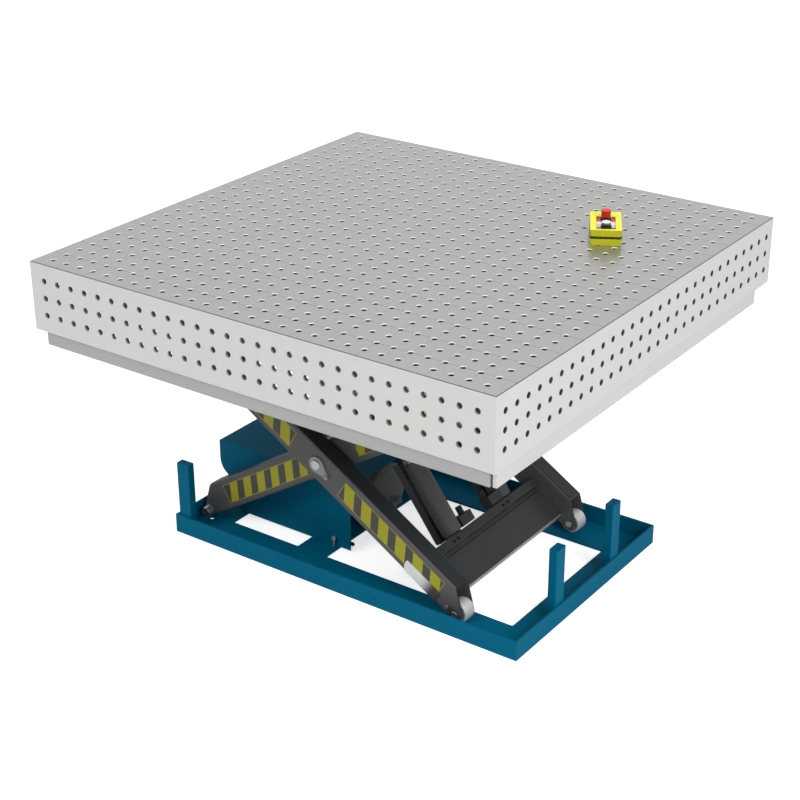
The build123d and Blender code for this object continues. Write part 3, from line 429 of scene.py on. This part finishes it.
def round_edges(piece, width, segments=2, limit=30):
    """Rounds the edges that turn by more than the limit in degrees."""
    edge = piece.modifiers.new("round_over", "BEVEL")
    edge.width, edge.segments = width, segments
    edge.limit_method, edge.angle_limit = "ANGLE", radians(limit)
    edge.harden_normals = True


def dress(node, material, round_over=0.0008, segments=2):
    """Gives a CAD piece its finish, and softens its edges by a small radius."""
    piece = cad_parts[node]
    for holder in piece.material_slots:
        holder.material = material
    if round_over:
        weld = piece.modifiers.new("join", "WELD")
        weld.merge_threshold = 0.00001
        round_edges(piece, round_over, segments, limit=38)


def bar(name, low, high, material):
    """Flat bar between two corners, its edges broken by a small radius."""
    (x0, y0, z0), (x1, y1, z1) = low, high
    outline = ((x0, y0), (x1, y0), (x1, y1), (x0, y1))
    points = [(x, y, z) for z in (z0, z1) for x, y in outline]
    faces = [(3, 2, 1, 0), (4, 5, 6, 7), (0, 1, 5, 4), (1, 2, 6, 5), (2, 3, 7, 6), (3, 0, 4, 7)]
    piece = from_points(name, points, faces, [material])
    round_edges(piece, 0.001)
    return piece


rib_steel = rolled_steel("rib_steel", (0.36, 0.36, 0.37, 1), 0.5, 0.6)
# The front, rear and left strips and the rest bars are painted darker than the right strip, which
# is flush with its skirt: the darker tone is painted shade.
strip_paint = rolled_steel("strip_paint_painted_shade", (0.35, 0.35, 0.346, 1), 0.5, 0.1)
end_strip_paint = rolled_steel("end_strip_paint", (0.52, 0.52, 0.515, 1), 0.5, 0.1)
dress("long_ribs", rib_steel)
dress("cross_ribs", rib_steel)
strip_foot, strip_head = 0.72, 0.7598
strips = (
    ("front_strip", (-0.713, 0.732), (-0.735, -0.725), strip_paint),
    ("rear_strip", (-0.713, 0.7), (0.725, 0.735), strip_paint),
    ("right_strip", (0.738, 0.7498), (-0.73, 0.656), end_strip_paint),
    ("left_strip", (-0.713, -0.701), (-0.7245, 0.656), strip_paint),
)
for name, (x0, x1), (y0, y1), paint in strips:
    strip = bar(name, (x0, y0, strip_foot), (x1, y1, strip_head), paint)
    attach(strip, "platform")
    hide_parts("edge_strips")
dress("rest_bars", strip_paint, 0.002)
dress("roller_tracks", rolled_steel("track_steel", (0.3, 0.3, 0.31, 1), 0.45, 0.5), 0.001)

# Base frame
# Four rails bent from 6 mm plate and a cross member lie on the floor, welded at the
# corners, with four solid posts. All of it is powder coated in deep teal.
def powder_coat(name, color, rough, gloss=0.2):
    """Powder coat: even colour, faint orange peel, soft gloss."""
    b = Board(bpy.data.materials.new(name))
    place = b.place()
    cloud = b.noise(place, 4.5, 4, 0.55)
    skin = b.noise(place, 620, 2, 0.5)
    return b.shade(
        Base_Color=b.mix(cloud, toned(color, 0.9), toned(color, 1.06)),
        Roughness=rough + (cloud - 0.5) * 0.12 + (skin - 0.5) * 0.05,
        Specular_IOR_Level=gloss, Normal=b.bump(skin, 0.1, 0.0004),
    )


teal = powder_coat("teal_powder_coat", (0.0, 0.108, 0.195, 1), 0.55, 0.05)
for node in ("front_rail", "rear_rail", "left_rail", "right_rail"):
    dress(node, teal, 0)
dress("cross_member", teal, 0.001)
dress("support_posts", teal, 0.0006)
dress("anchor_lugs", teal, 0.001)


def bead(name, run, radius, material):
    """Weld bead along the points of a run, its thickness rippled along the way."""
    step, ripple, sides = 0.003, 0.16, 8
    path = [Vector(point) for point in run]
    dense = []
    for start, end in zip(path, path[1:]):
        count = max(1, int((end - start).length / step))
        dense += [start.lerp(end, k / count) for k in range(count)]
    dense.append(path[-1])
    points, faces = [], []
    for k, point in enumerate(dense):
        before, after = dense[max(k - 1, 0)], dense[min(k + 1, len(dense) - 1)]
        axis = (after - before).normalized()
        side = axis.orthogonal().normalized()
        other = axis.cross(side)
        size = radius * (1 + ripple * sin(k * 2.1) + ripple * 0.5 * sin(k * 0.73))
        for n in range(sides):
            turn = 2 * pi * n / sides
            points.append(point + side * size * cos(turn) + other * size * sin(turn))
    for k in range(len(dense) - 1):
        here, there = k * sides, (k + 1) * sides
        for n in range(sides):
            m = (n + 1) % sides
            faces.append((here + n, here + m, there + m, there + n))
    last = (len(dense) - 1) * sides
    smooth = [True] * len(faces) + [False, False]
    faces += [tuple(reversed(range(sides))), tuple(range(last, last + sides))]
    return from_points(name, points, faces, [material], smooth=smooth)


def join_up(name, pieces):
    """Joins like pieces into one object."""
    with bpy.context.temp_override(active_object=pieces[0], selected_editable_objects=pieces):
        bpy.ops.object.join()
    pieces[0].name = name
    return pieces[0]


def weld_beads(name, runs, radius, material, body):
    """Weld beads along several runs, as one object."""
    made = [bead(f"{name}_{k}", run, radius, material) for k, run in enumerate(runs)]
    beads = join_up(name, made)
    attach(beads, body)


post_weld_height, rail_weld_height = 0.0065, 0.0058
rail_edge_x, rail_edge_y = 0.6, 0.38
posts = (
    (-0.576, 0.368, 0.046, 0.027), (-0.576, -0.368, 0.046, 0.027),
    (0.5905, 0.155, 0.027, 0.046), (0.5905, -0.155, 0.027, 0.046),
)
post_runs = []
for x, y, wide, deep in posts:
    x0, x1, y0, y1 = x - wide / 2, x + wide / 2, y - deep / 2, y + deep / 2
    corners = [(x0, y0), (x1, y0), (x1, y1), (x0, y1)]
    for (a, b), (c, d) in zip(corners, corners[1:] + corners[:1]):
        against_end = abs(a) > rail_edge_x and abs(c) > rail_edge_x
        against_side = abs(b) > rail_edge_y and abs(d) > rail_edge_y
        if not (against_end or against_side):
            post_runs.append([(a, b, post_weld_height), (c, d, post_weld_height)])
weld_beads("post_welds", post_runs, 0.0024, teal, "base")
frame_runs = [
    [(start, y, rail_weld_height), (end, y, rail_weld_height)]
    for y in (-0.253, 0.25) for start, end in ((-0.604, -0.499), (-0.245, -0.139), (0.514, 0.604))
]
weld_beads("frame_welds", frame_runs, 0.0014, teal, "base")

# Scissor arms
# Four rectangular steel tubes in satin black, forked at both ends. A printed film with
# slanted black and yellow stripes inside a thin yellow line is stuck to each half.
arm_span, pivot_offset = 1.15, 0.025
foot_pin_height, head_pin_height = 0.0387, 0.6873
arm_slope = asin((head_pin_height - foot_pin_height) / arm_span)
tube_turn = arm_slope - asin(pivot_offset / (arm_span / 2))
foot = Vector((-0.57, 0, foot_pin_height))
centre = foot + arm_span / 2 * Vector((cos(arm_slope), 0, sin(arm_slope)))


def arm_point(turn, along, across, y=0.0):
    """Place from the centre pivot, along and across an arm's tube."""
    x = along * cos(turn) - across * sin(turn)
    z = along * sin(turn) + across * cos(turn)
    return centre + Vector((x, y, z))


def striped_arm(name, turn, slope, first, period, start, stop):
    """Satin black arm with its printed film on the flat outer faces."""
    film_edge, line_edge, line_width, ink_width = 0.0295, 0.0278, 0.0018, 0.030
    b = Board(bpy.data.materials.new(name))
    place = b.place()
    x, y, z = b.parts(place)
    dx, dz = x - centre.x, z - centre.z
    along = dx * cos(turn) + dz * sin(turn)
    across = dz * cos(turn) - dx * sin(turn)
    sideways = b.facing()[1]
    outward = sideways * ((y > 0) * 2 - 1) > 0.9
    beside = abs(sideways) > 0.6
    from_middle = abs(along)
    half = (along > 0) * 2 - 1
    film = (from_middle > start) * (from_middle < stop) * (abs(across) < film_edge) * outward
    phase = (from_middle + across * half * slope - first) % period
    ends = (from_middle < start + line_width) + (from_middle > stop - line_width)
    print_yellow = (phase > ink_width).high(abs(across) > line_edge).high(ends)
    cloud = b.noise(place, 5, 4, 0.6)
    skin = b.noise(place, 700, 2, 0.5)
    # Side faces get a lighter black than the top and bottom faces, which are darkened as painted
    # shade; it is one paint.
    lit_side_black = b.mix(cloud, (0.074, 0.074, 0.074, 1), (0.088, 0.088, 0.088, 1))
    black = b.mix(beside, (0.022, 0.025, 0.027, 1), lit_side_black)
    yellow = b.mix(cloud, (0.27, 0.262, 0.011, 1), (0.33, 0.32, 0.018, 1))
    ink = b.mix(cloud, (0.05, 0.05, 0.048, 1), (0.062, 0.062, 0.058, 1))
    tone = b.mix(film, black, b.mix(print_yellow.low(1), ink, yellow))
    return b.shade(
        Base_Color=tone, Roughness=(cloud - 0.5) * 0.14 + 0.42 - film * 0.06,
        Specular_IOR_Level=0.22, Normal=b.bump(skin * 0.4 + film * 1.2, 0.12, 0.0004),
    )


outer_black = striped_arm("outer_arm_black", -tube_turn, 0.5, 0.152, 0.069, 0.1005, 0.4995)
inner_black = striped_arm("inner_arm_black", tube_turn, -0.5, 0.1396, 0.064, 0.1, 0.48)
for end in ("front", "rear"):
    dress(f"outer_arm_{end}", outer_black, 0)
    dress(f"inner_arm_{end}", inner_black, 0)

# Cross members of the arms
# A thick torsion tube with four lever plates joins the inner arms, with a thinner tube
# near their heads. The outer arms are joined by a flat box beam and the ram shaft.
black_coat = powder_coat("satin_black_coat", (0.036, 0.036, 0.037, 1), 0.42)
dress("torsion_tube", black_coat, 0.001)
dress("head_tube", black_coat, 0.001)
dress("ram_levers", black_coat, 0.0008)


def beam_black():
    """The beam's black paint, with its lower end face pale grey."""
    b = Board(bpy.data.materials.new("beam_black_paint"))
    place = b.place()
    cloud, skin = b.noise(place, 5, 4, 0.6), b.noise(place, 620, 2)
    down_the_arm = (cos(tube_turn), 0, -sin(tube_turn))
    end_face = b.node("VectorMath", {"operation": "DOT_PRODUCT"}, {
        0: b.node("TexCoord", output="Normal"), 1: down_the_arm,
    }, 1) > 0.8
    black = b.mix(cloud, (0.034, 0.035, 0.036, 1), (0.042, 0.043, 0.044, 1))
    return b.shade(
        Base_Color=b.mix(end_face, black, (0.36, 0.365, 0.37, 1)),
        Roughness=(cloud - 0.5) * 0.14 + 0.44, Specular_IOR_Level=0.22,
        Normal=b.bump(skin, 0.1, 0.0004),
    )


dress("cross_beam", beam_black(), 0)
dress("platform_lugs", black_coat, 0.0008)


def ring_run(middle, radius, count=48):
    """Points of a closed ring about an axis along y."""
    axis = Vector((0, 1, 0))
    side = axis.orthogonal().normalized()
    other = axis.cross(side)
    turns = [2 * pi * k / count for k in range(count + 1)]
    return [Vector(middle) + radius * (side * cos(t) + other * sin(t)) for t in turns]


arm_face, lever_middle = 0.2115, 0.131
torsion_weld, head_weld = 0.0455, 0.0305
inner_rings = []
for side in (-1, 1):
    inner_rings.append(ring_run(centre + Vector((0, side * arm_face, 0)), torsion_weld))
    inner_rings.append(ring_run(arm_point(tube_turn, 0.47, 0, side * arm_face), head_weld))
    for face in (-0.0255, -0.0145, 0.0145, 0.0255):
        middle = centre + Vector((0, side * lever_middle + face, 0))
        inner_rings.append(ring_run(middle, torsion_weld))
weld_beads("torsion_welds", inner_rings, 0.0018, black_coat, "inner_arms")
beam_corners = ((0.441, -0.0115), (0.534, -0.0115), (0.5375, -0.015), (0.5375, -0.047))
beam_runs = [[arm_point(-tube_turn, u, v, y) for u, v in beam_corners] for y in (-0.2772, 0.2772)]
weld_beads("beam_welds", beam_runs, 0.0018, black_coat, "outer_arms")

# Pins, axles and retaining plates
# Turned steel pins run through the pivots. Teardrop plates, zinc plated and held by one
# screw each, keep the centre pins and lower axles from turning.
def turned_steel(name, color, rough, axis):
    """Turned steel with fine rings about the y axis through a point."""
    b = Board(bpy.data.materials.new(name))
    place = b.place()
    x, _, z = b.parts(place)
    dx, dz = x - axis[0], z - axis[2]
    radius = b.node("Math", {"operation": "SQRT"}, {0: dx * dx + dz * dz})
    rings = b.node("TexNoise", {"noise_dimensions": "1D"}, {
        "W": radius * 2600, "Scale": 1.0, "Detail": 2.0,
    })
    cloud = b.noise(place, 30, 3)
    return b.shade(
        Base_Color=b.mix(rings * 0.5 + cloud * 0.5, toned(color, 0.82), color), Metallic=0.9,
        Roughness=rough + rings * 0.1, Normal=b.bump(rings, 0.08, 0.0002),
    )


lower_axle = foot + arm_span * Vector((cos(arm_slope), 0, 0))
pin_lift = Vector((0, 0, arm_span * sin(arm_slope)))
upper_left, upper_axle = foot + pin_lift, lower_axle + pin_lift
pin_gray = (0.42, 0.42, 0.43, 1)
dress("anchor_pins", turned_steel("anchor_pin_steel", pin_gray, 0.3, foot), 0.0004)
dress("platform_pins", turned_steel("platform_pin_steel", pin_gray, 0.3, upper_left), 0.0004)
centre_pin_steel = turned_steel("centre_pin_steel", (0.5, 0.51, 0.52, 1), 0.32, centre)
dress("centre_pins", centre_pin_steel, 0.0004)
dress("lower_axles", turned_steel("lower_axle_steel", pin_gray, 0.3, lower_axle), 0.0003)
dress("upper_axles", turned_steel("upper_axle_steel", pin_gray, 0.3, upper_axle), 0.0003)


def retainer_zinc():
    """Zinc plate, dark below 0.14 m and clean zinc above 0.2 m, so the lower plates near the floor
    are dark.
    """
    b = Board(bpy.data.materials.new("retainer_zinc"))
    place = b.place()
    cloud, fine = b.noise(place, 40, 4, 0.6), b.noise(place, 420, 2)
    clean = b.mix(cloud, (0.21, 0.214, 0.222, 1), (0.27, 0.275, 0.285, 1))
    above_dark_band = b.fade(b.parts(place)[2], 0.14, 0.2)
    return b.shade(
        Base_Color=b.mix(above_dark_band, (0.06, 0.062, 0.066, 1), clean), Metallic=0.4,
        Roughness=fine * 0.12 + 0.42, Normal=b.bump(fine, 0.1, 0.0003),
    )


screw_zinc = rolled_steel("zinc_plated_steel", (0.26, 0.265, 0.275, 1), 0.42, 0.5)
bronze = rolled_steel("washer_bronze", (0.35, 0.26, 0.14, 1), 0.42, 0.8)
dress("retainer_plates", retainer_zinc(), 0.0007, 3)
dress("retainer_screws", screw_zinc, 0.0006)
dress("centre_washers", bronze, 0.0004)

# Arm guards
# A thin steel plate is fixed flat on the outer face of each outer arm, over its lower
# edge just above the wheel. It has rounded corners at its upper end and a small notch.
def arm_plate(name, profile, y0, y1, material, round_over):
    """Plate with an outline along and across the outer arms, between two y values."""
    count = len(profile)
    points = [arm_point(-tube_turn, u, v, y) for y in sorted((y0, y1)) for u, v in profile]
    faces = []
    for k in range(count):
        n = (k + 1) % count
        faces.append((k, n, count + n, count + k))
    faces += [tuple(reversed(range(count))), tuple(range(count, 2 * count))]
    piece = from_points(name, points, faces, [material])
    round_edges(piece, round_over, limit=32)
    return piece


def guard_steel():
    """Pale steel plate at its upper end, turning black toward the wheel as a painted shadow."""
    b = Board(bpy.data.materials.new("guard_steel"))
    place = b.place()
    x, _, z = b.parts(place)
    along = (x - centre.x) * cos(tube_turn) - (z - centre.z) * sin(tube_turn)
    cloud = b.noise(place, 26, 4, 0.6)
    # The fade to black toward the wheel is a painted shadow of the arm.
    painted = b.fade(along + cloud * 0.006, 0.44, 0.487, ease="SMOOTHSTEP")
    pale_part = b.mix(cloud, (0.58, 0.58, 0.585, 1), (0.7, 0.7, 0.7, 1))
    return b.shade(
        Base_Color=b.mix(painted, pale_part, (0.05, 0.05, 0.051, 1)), Metallic=0.2,
        Roughness=cloud * 0.1 + 0.4, Normal=b.bump(cloud, 0.1, 0.0004),
    )


guard_inner, guard_outer = 0.3382, 0.3412
guard_outline = [(0.507, -0.009), (0.377, -0.009), (0.3745, -0.0115), (0.3745, -0.026)]
guard_outline += [(0.379, -0.036), (0.388, -0.0435), (0.398, -0.0455)]
for turn in (0.3, 0.9, 1.57, 2.2, 2.84):
    guard_outline.append((0.414 - 0.0052 * cos(turn), -0.0455 + 0.0072 * sin(turn)))
guard_outline.append((0.507, -0.0455))
guard_finish = guard_steel()
for end, side in (("front", -1), ("rear", 1)):
    y0, y1 = side * guard_inner, side * guard_outer
    guard = arm_plate(f"arm_guard_{end}", guard_outline, y0, y1, guard_finish, 0.0006)
    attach(guard, "outer_arms")
    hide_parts("arm_guards")

# Rollers
# Each fork holds a pale steel wheel, turned with a rounded rim and dished faces, which
# runs freely on its axle.
def lathe(name, outline, axis_point, axis, material, count=56):
    """Turns an outline of (distance along the axis, radius) points about the axis."""
    axis = Vector(axis).normalized()
    side = axis.orthogonal().normalized()
    other = axis.cross(side)
    points, faces = [], []
    for along, radius in outline:
        for k in range(count):
            turn = 2 * pi * k / count
            spoke = radius * (side * cos(turn) + other * sin(turn))
            points.append(Vector(axis_point) + axis * along + spoke)
    rows = len(outline)
    for i in range(rows):
        here, there = i * count, (i + 1) % rows * count
        for k in range(count):
            m = (k + 1) % count
            faces.append((here + k, there + k, there + m, here + m))
    return from_points(name, points, faces, [material], smooth=[True] * len(faces), sharp=28)


def wheel_outline(half, radius, bore):
    """Outline of a wheel: rounded rim, dished faces and a hub round the bore."""
    rim = ((0.6, 1), (0.80, 0.985), (0.93, 0.955), (1, 0.90), (1, 0.80))
    dish = ((0.90, 0.74), (0.88, 0.60), (0.96, 0.54))
    right = [(half * a, radius * r) for a, r in rim + dish] + [(half * 0.96, bore)]
    left = [(-a, r) for a, r in reversed(right)]
    return [(0.0, radius)] + right + left


wheel_shape = wheel_outline(half=0.022, radius=0.0325, bore=0.0112)
wheel_steel = rolled_steel("wheel_steel", (0.62, 0.62, 0.61, 1), 0.42, 0.25)
wheels = (
    ("lower", "front", lower_axle, -0.308),
    ("lower", "rear", lower_axle, 0.308),
    ("upper", "front", upper_axle, -0.242),
    ("upper", "rear", upper_axle, 0.242),
)
for level, end, axle, y in wheels:
    node = f"{level}_roller_{end}"
    wheel = lathe(f"wheel_{node}", wheel_shape, (axle.x, y, axle.z), (0, 1, 0), wheel_steel)
    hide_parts(node)
    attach(wheel, f"{level}_wheel_{end}")

# Hydraulic rams
# Two black cylinders stand on the ram shaft, beside a bent rail with socket screws. Each
# has a chromed rod, a gland, a square bar beside it and a small valve block at its foot.
ram_foot = arm_point(-tube_turn, 0.408, -0.016)
ram_head = arm_point(tube_turn, 0.13, 0.092)
ram_line = (ram_head - ram_foot).normalized()
ram_black = powder_coat("ram_black_paint", (0.058, 0.058, 0.059, 1), 0.42)
barrel_outline = (
    (0.022, 0.021), (0.022, 0.0295), (0.0235, 0.031), (0.2545, 0.031),
    (0.256, 0.0295), (0.256, 0.0215), (0.05, 0.0215), (0.05, 0.021),
)
eye_outline = (
    (-0.022, 0.0185), (-0.022, 0.0218), (-0.0212, 0.0226),
    (0.0212, 0.0226), (0.022, 0.0218), (0.022, 0.0185),
)
for end, y in (("front", -lever_middle), ("rear", lever_middle)):
    barrel_foot = ram_foot + Vector((0, y, 0))
    barrel = lathe(f"barrel_{end}", barrel_outline, barrel_foot, ram_line, ram_black)
    eye = lathe(f"barrel_eye_{end}", eye_outline, barrel_foot, (0, 1, 0), ram_black)
    barrel = join_up(f"barrel_{end}", [barrel, eye])
    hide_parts(f"ram_barrel_{end}")
    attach(barrel, "ram_barrels")
shaft_radius, seat_radius, shaft_end = 0.0135, 0.018, 0.2765
seat_half, step_half = 0.0225, 0.0235
shaft_outline = [(-shaft_end, 0.0), (-shaft_end, shaft_radius)]
for y in (-lever_middle, lever_middle):
    shaft_outline += [(y - step_half, shaft_radius), (y - seat_half, seat_radius)]
    shaft_outline += [(y + seat_half, seat_radius), (y + step_half, shaft_radius)]
shaft_outline += [(shaft_end, shaft_radius), (shaft_end, 0.0)]
shaft_steel = turned_steel("ram_shaft_steel", (0.1, 0.1, 0.105, 1), 0.4, ram_foot)
shaft = lathe("shaft_between_arms", shaft_outline, ram_foot, (0, 1, 0), shaft_steel, 40)
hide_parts("ram_shaft")
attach(shaft, "outer_arms")
rail_end, rail_top = 0.2778, 0.0115
rail_outline = (
    (0.4, rail_top), (0.4275, rail_top), (0.4275, -0.0118), (0.4372, -0.0118),
    (0.4372, -0.0165), (0.423, -0.0165), (0.423, 0.007), (0.4, 0.007),
)
rail_paint = powder_coat("foot_rail_black", (0.033, 0.037, 0.036, 1), 0.4)
rail = arm_plate("ram_foot_rail", rail_outline, -rail_end, rail_end, rail_paint, 0.0012)
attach(rail, "outer_arms")
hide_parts("ram_shaft")
socket_outline = (
    (0.0002, 0.0012), (0.0002, 0.0024), (0.0018, 0.0026), (0.0018, 0.0044),
    (0.0010, 0.0052), (-0.0004, 0.0052), (-0.0004, 0.0012),
)
out_of_rail = (sin(tube_turn), 0, cos(tube_turn))
screw_black = powder_coat("socket_screw_black", (0.006, 0.006, 0.006, 1), 0.5)
rail_screws = []
for y in (-0.172, -0.150, 0.088, 0.112):
    place = arm_point(-tube_turn, 0.4155, rail_top, y)
    screw = lathe(f"rail_screw_{y}", socket_outline, place, out_of_rail, screw_black, 24)
    rail_screws.append(screw)
rail_screws = join_up("rail_screws", rail_screws)
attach(rail_screws, "outer_arms")
dress("guide_bars", powder_coat("guide_bar_black", (0.04, 0.04, 0.041, 1), 0.4), 0.0008)
dress("valve_blocks", powder_coat("valve_black", (0.022, 0.022, 0.023, 1), 0.35), 0.0008)
dress("ram_glands", rolled_steel("gland_steel", (0.2, 0.2, 0.21, 1), 0.35, 0.8), 0.0006)
chrome = Board(bpy.data.materials.new("rod_chrome"))
streaks = chrome.noise(chrome.stretch(chrome.place(), (90, 90, 20)), 1.0, 3)
rod_chrome = chrome.shade(
    Base_Color=chrome.mix(streaks, (0.6, 0.6, 0.61, 1), (0.72, 0.72, 0.73, 1)), Metallic=1.0,
    Roughness=streaks * 0.08 + 0.1,
)
dress("ram_rod_front", rod_chrome, 0.0005)
dress("ram_rod_rear", rod_chrome, 0.0005)
dress("rod_pins", turned_steel("rod_pin_steel", (0.4, 0.4, 0.41, 1), 0.3, ram_head), 0.0006)

# Hood and power unit
# A bent sheet hood in teal stands over the pump, with a black cable gland in its side.
# The grey oil tank shows at its open end, with a pump block and a ribbed motor behind it.
dress("power_hood", teal, 0.0012, 3)
gland_outline = (
    (0.0, 0.0015), (0.0, 0.006), (0.003, 0.0062), (0.0036, 0.0042), (0.0056, 0.0042),
    (0.0062, 0.0062), (0.0092, 0.0062), (0.0098, 0.004), (0.0125, 0.0036), (0.013, 0.0015),
)
gland_place = (-0.0985, -0.183, 0.03)
gland_black = powder_coat("gland_black", (0.012, 0.012, 0.013, 1), 0.5)
cable_gland = lathe("cable_gland", gland_outline, gland_place, (1, 0, 0), gland_black, 12)
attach(cable_gland, "base")
dress("oil_tank", powder_coat("tank_grey", (0.11, 0.11, 0.112, 1), 0.5), 0.002, 3)
dress("pump_block", rolled_steel("pump_cast", (0.24, 0.24, 0.25, 1), 0.5, 0.6), 0.0015)
dress("electric_motor", powder_coat("motor_black", (0.03, 0.03, 0.032, 1), 0.45), 0.0008)
dress("hood_bolts", rolled_steel("hood_bolt_zinc", (0.5, 0.5, 0.52, 1), 0.35, 0.6), 0.0008)

# Hand control
# A yellow plastic box in two halves with a dark seal lies on the table. A printed label
# in a recess carries a red stop button and a white lift button, each in a black collar.
box_middle = Vector((0.4298, 0.3236, 0.96))
box_turn = radians(30)


def moulded(name, color, rough, grain=0.1, side=None):
    """Moulded plastic with a fine spark-eroded grain; given a side colour, its steep faces take
    that darker colour as painted shade.
    """
    b = Board(bpy.data.materials.new(name))
    place = b.place()
    skin = b.noise(place, 1500, 2)
    tone = b.mix(b.noise(place, 24, 3), toned(color, 0.9), color)
    if side:
        steep_face_shade = abs(b.facing()[2]) < 0.6
        tone = b.mix(steep_face_shade, tone, side)
    return b.shade(
        Base_Color=tone, Roughness=rough + (skin - 0.5) * 0.1, Specular_IOR_Level=0.3,
        Normal=b.bump(skin, grain, 0.0003),
    )


# The shell's side colour is a darker copy of its top colour: painted shade on the sides.
yellow_shell = moulded("yellow_shell", (0.86, 0.83, 0.03, 1), 0.38, side=(0.4, 0.395, 0.012, 1))
dress("control_base", yellow_shell, 0.0012, 3)
dress("control_lid", yellow_shell, 0.0018, 3)


def box_outline(width, length, corner, z, count=6):
    """Rounded rectangle about the hand control's middle, turned with it."""
    points = []
    for quarter, (sx, sy) in enumerate(((1, 1), (-1, 1), (-1, -1), (1, -1))):
        for k in range(count + 1):
            turn = pi / 2 * (quarter + k / count)
            x = sx * (width / 2 - corner) + corner * cos(turn)
            y = sy * (length / 2 - corner) + corner * sin(turn)
            turned_x = x * cos(box_turn) - y * sin(box_turn)
            turned_y = x * sin(box_turn) + y * cos(box_turn)
            points.append(Vector((box_middle.x + turned_x, box_middle.y + turned_y, z)))
    return points


seal_middle = sum(corner[2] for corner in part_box("control_seal")) / 2
seal_steps = (
    (0.0878, 0.1568, 0.0054, -0.0034), (0.0882, 0.1572, 0.0056, -0.0028),
    (0.0882, 0.1572, 0.0056, 0.0028), (0.0878, 0.1568, 0.0054, 0.0034),
    (0.084, 0.153, 0.0035, 0.0034), (0.084, 0.153, 0.0035, -0.0034),
)
seal_rows = []
for wide, long, corner, rise in seal_steps:
    seal_rows.append(box_outline(wide, long, corner, seal_middle + rise))
seal_faces = []
for i in range(len(seal_rows)):
    round_row = len(seal_rows[i])
    here, there = i * round_row, (i + 1) % len(seal_rows) * round_row
    for k in range(round_row):
        n = (k + 1) % round_row
        seal_faces.append((here + k, here + n, there + n, there + k))
seal_points = [point for row in seal_rows for point in row]
seal_rubber = moulded("seal_rubber", (0.03, 0.029, 0.006, 1), 0.6)
smooth = [True] * len(seal_faces)
seal = from_points("seal_band", seal_points, seal_faces, [seal_rubber], smooth=smooth, sharp=40)
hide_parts("control_seal")
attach(seal, "control_box")
# The buttons' side colours are darker copies of their top colours: painted shade on the sides.
stop_red = moulded("stop_red", (0.68, 0.03, 0.035, 1), 0.3, 0.03, (0.4, 0.008, 0.008, 1))
lift_white = moulded("lift_white", (0.78, 0.78, 0.78, 1), 0.3, 0.03, (0.1, 0.1, 0.1, 1))
dress("button_collars", moulded("collar_black", (0.01, 0.01, 0.01, 1), 0.35), 0.0008)
dress("stop_button", stop_red, 0.0015, 3)
dress("lift_button", lift_white, 0.0012, 3)
label = Board(bpy.data.materials.new("printed_label"))
label_x, label_y, _ = label.parts(label.place())
label_right, label_up = label_x - box_middle.x, label_y - box_middle.y
up_the_label = label_up * cos(box_turn) - label_right * sin(box_turn)
fibre = label.noise(label.place(), 60, 3)
red_print = label.mix(fibre, (0.5, 0.012, 0.012, 1), (0.58, 0.02, 0.018, 1))
white_print = label.mix(fibre, (0.62, 0.62, 0.6, 1), (0.72, 0.72, 0.7, 1))
upper_tone = label.mix(up_the_label > 0.002, white_print, red_print)
label_tone = label.mix(up_the_label < -0.046, upper_tone, gray(0.05))
dress("control_panel", label.shade(Base_Color=label_tone, Roughness=fibre * 0.1 + 0.3), 0)
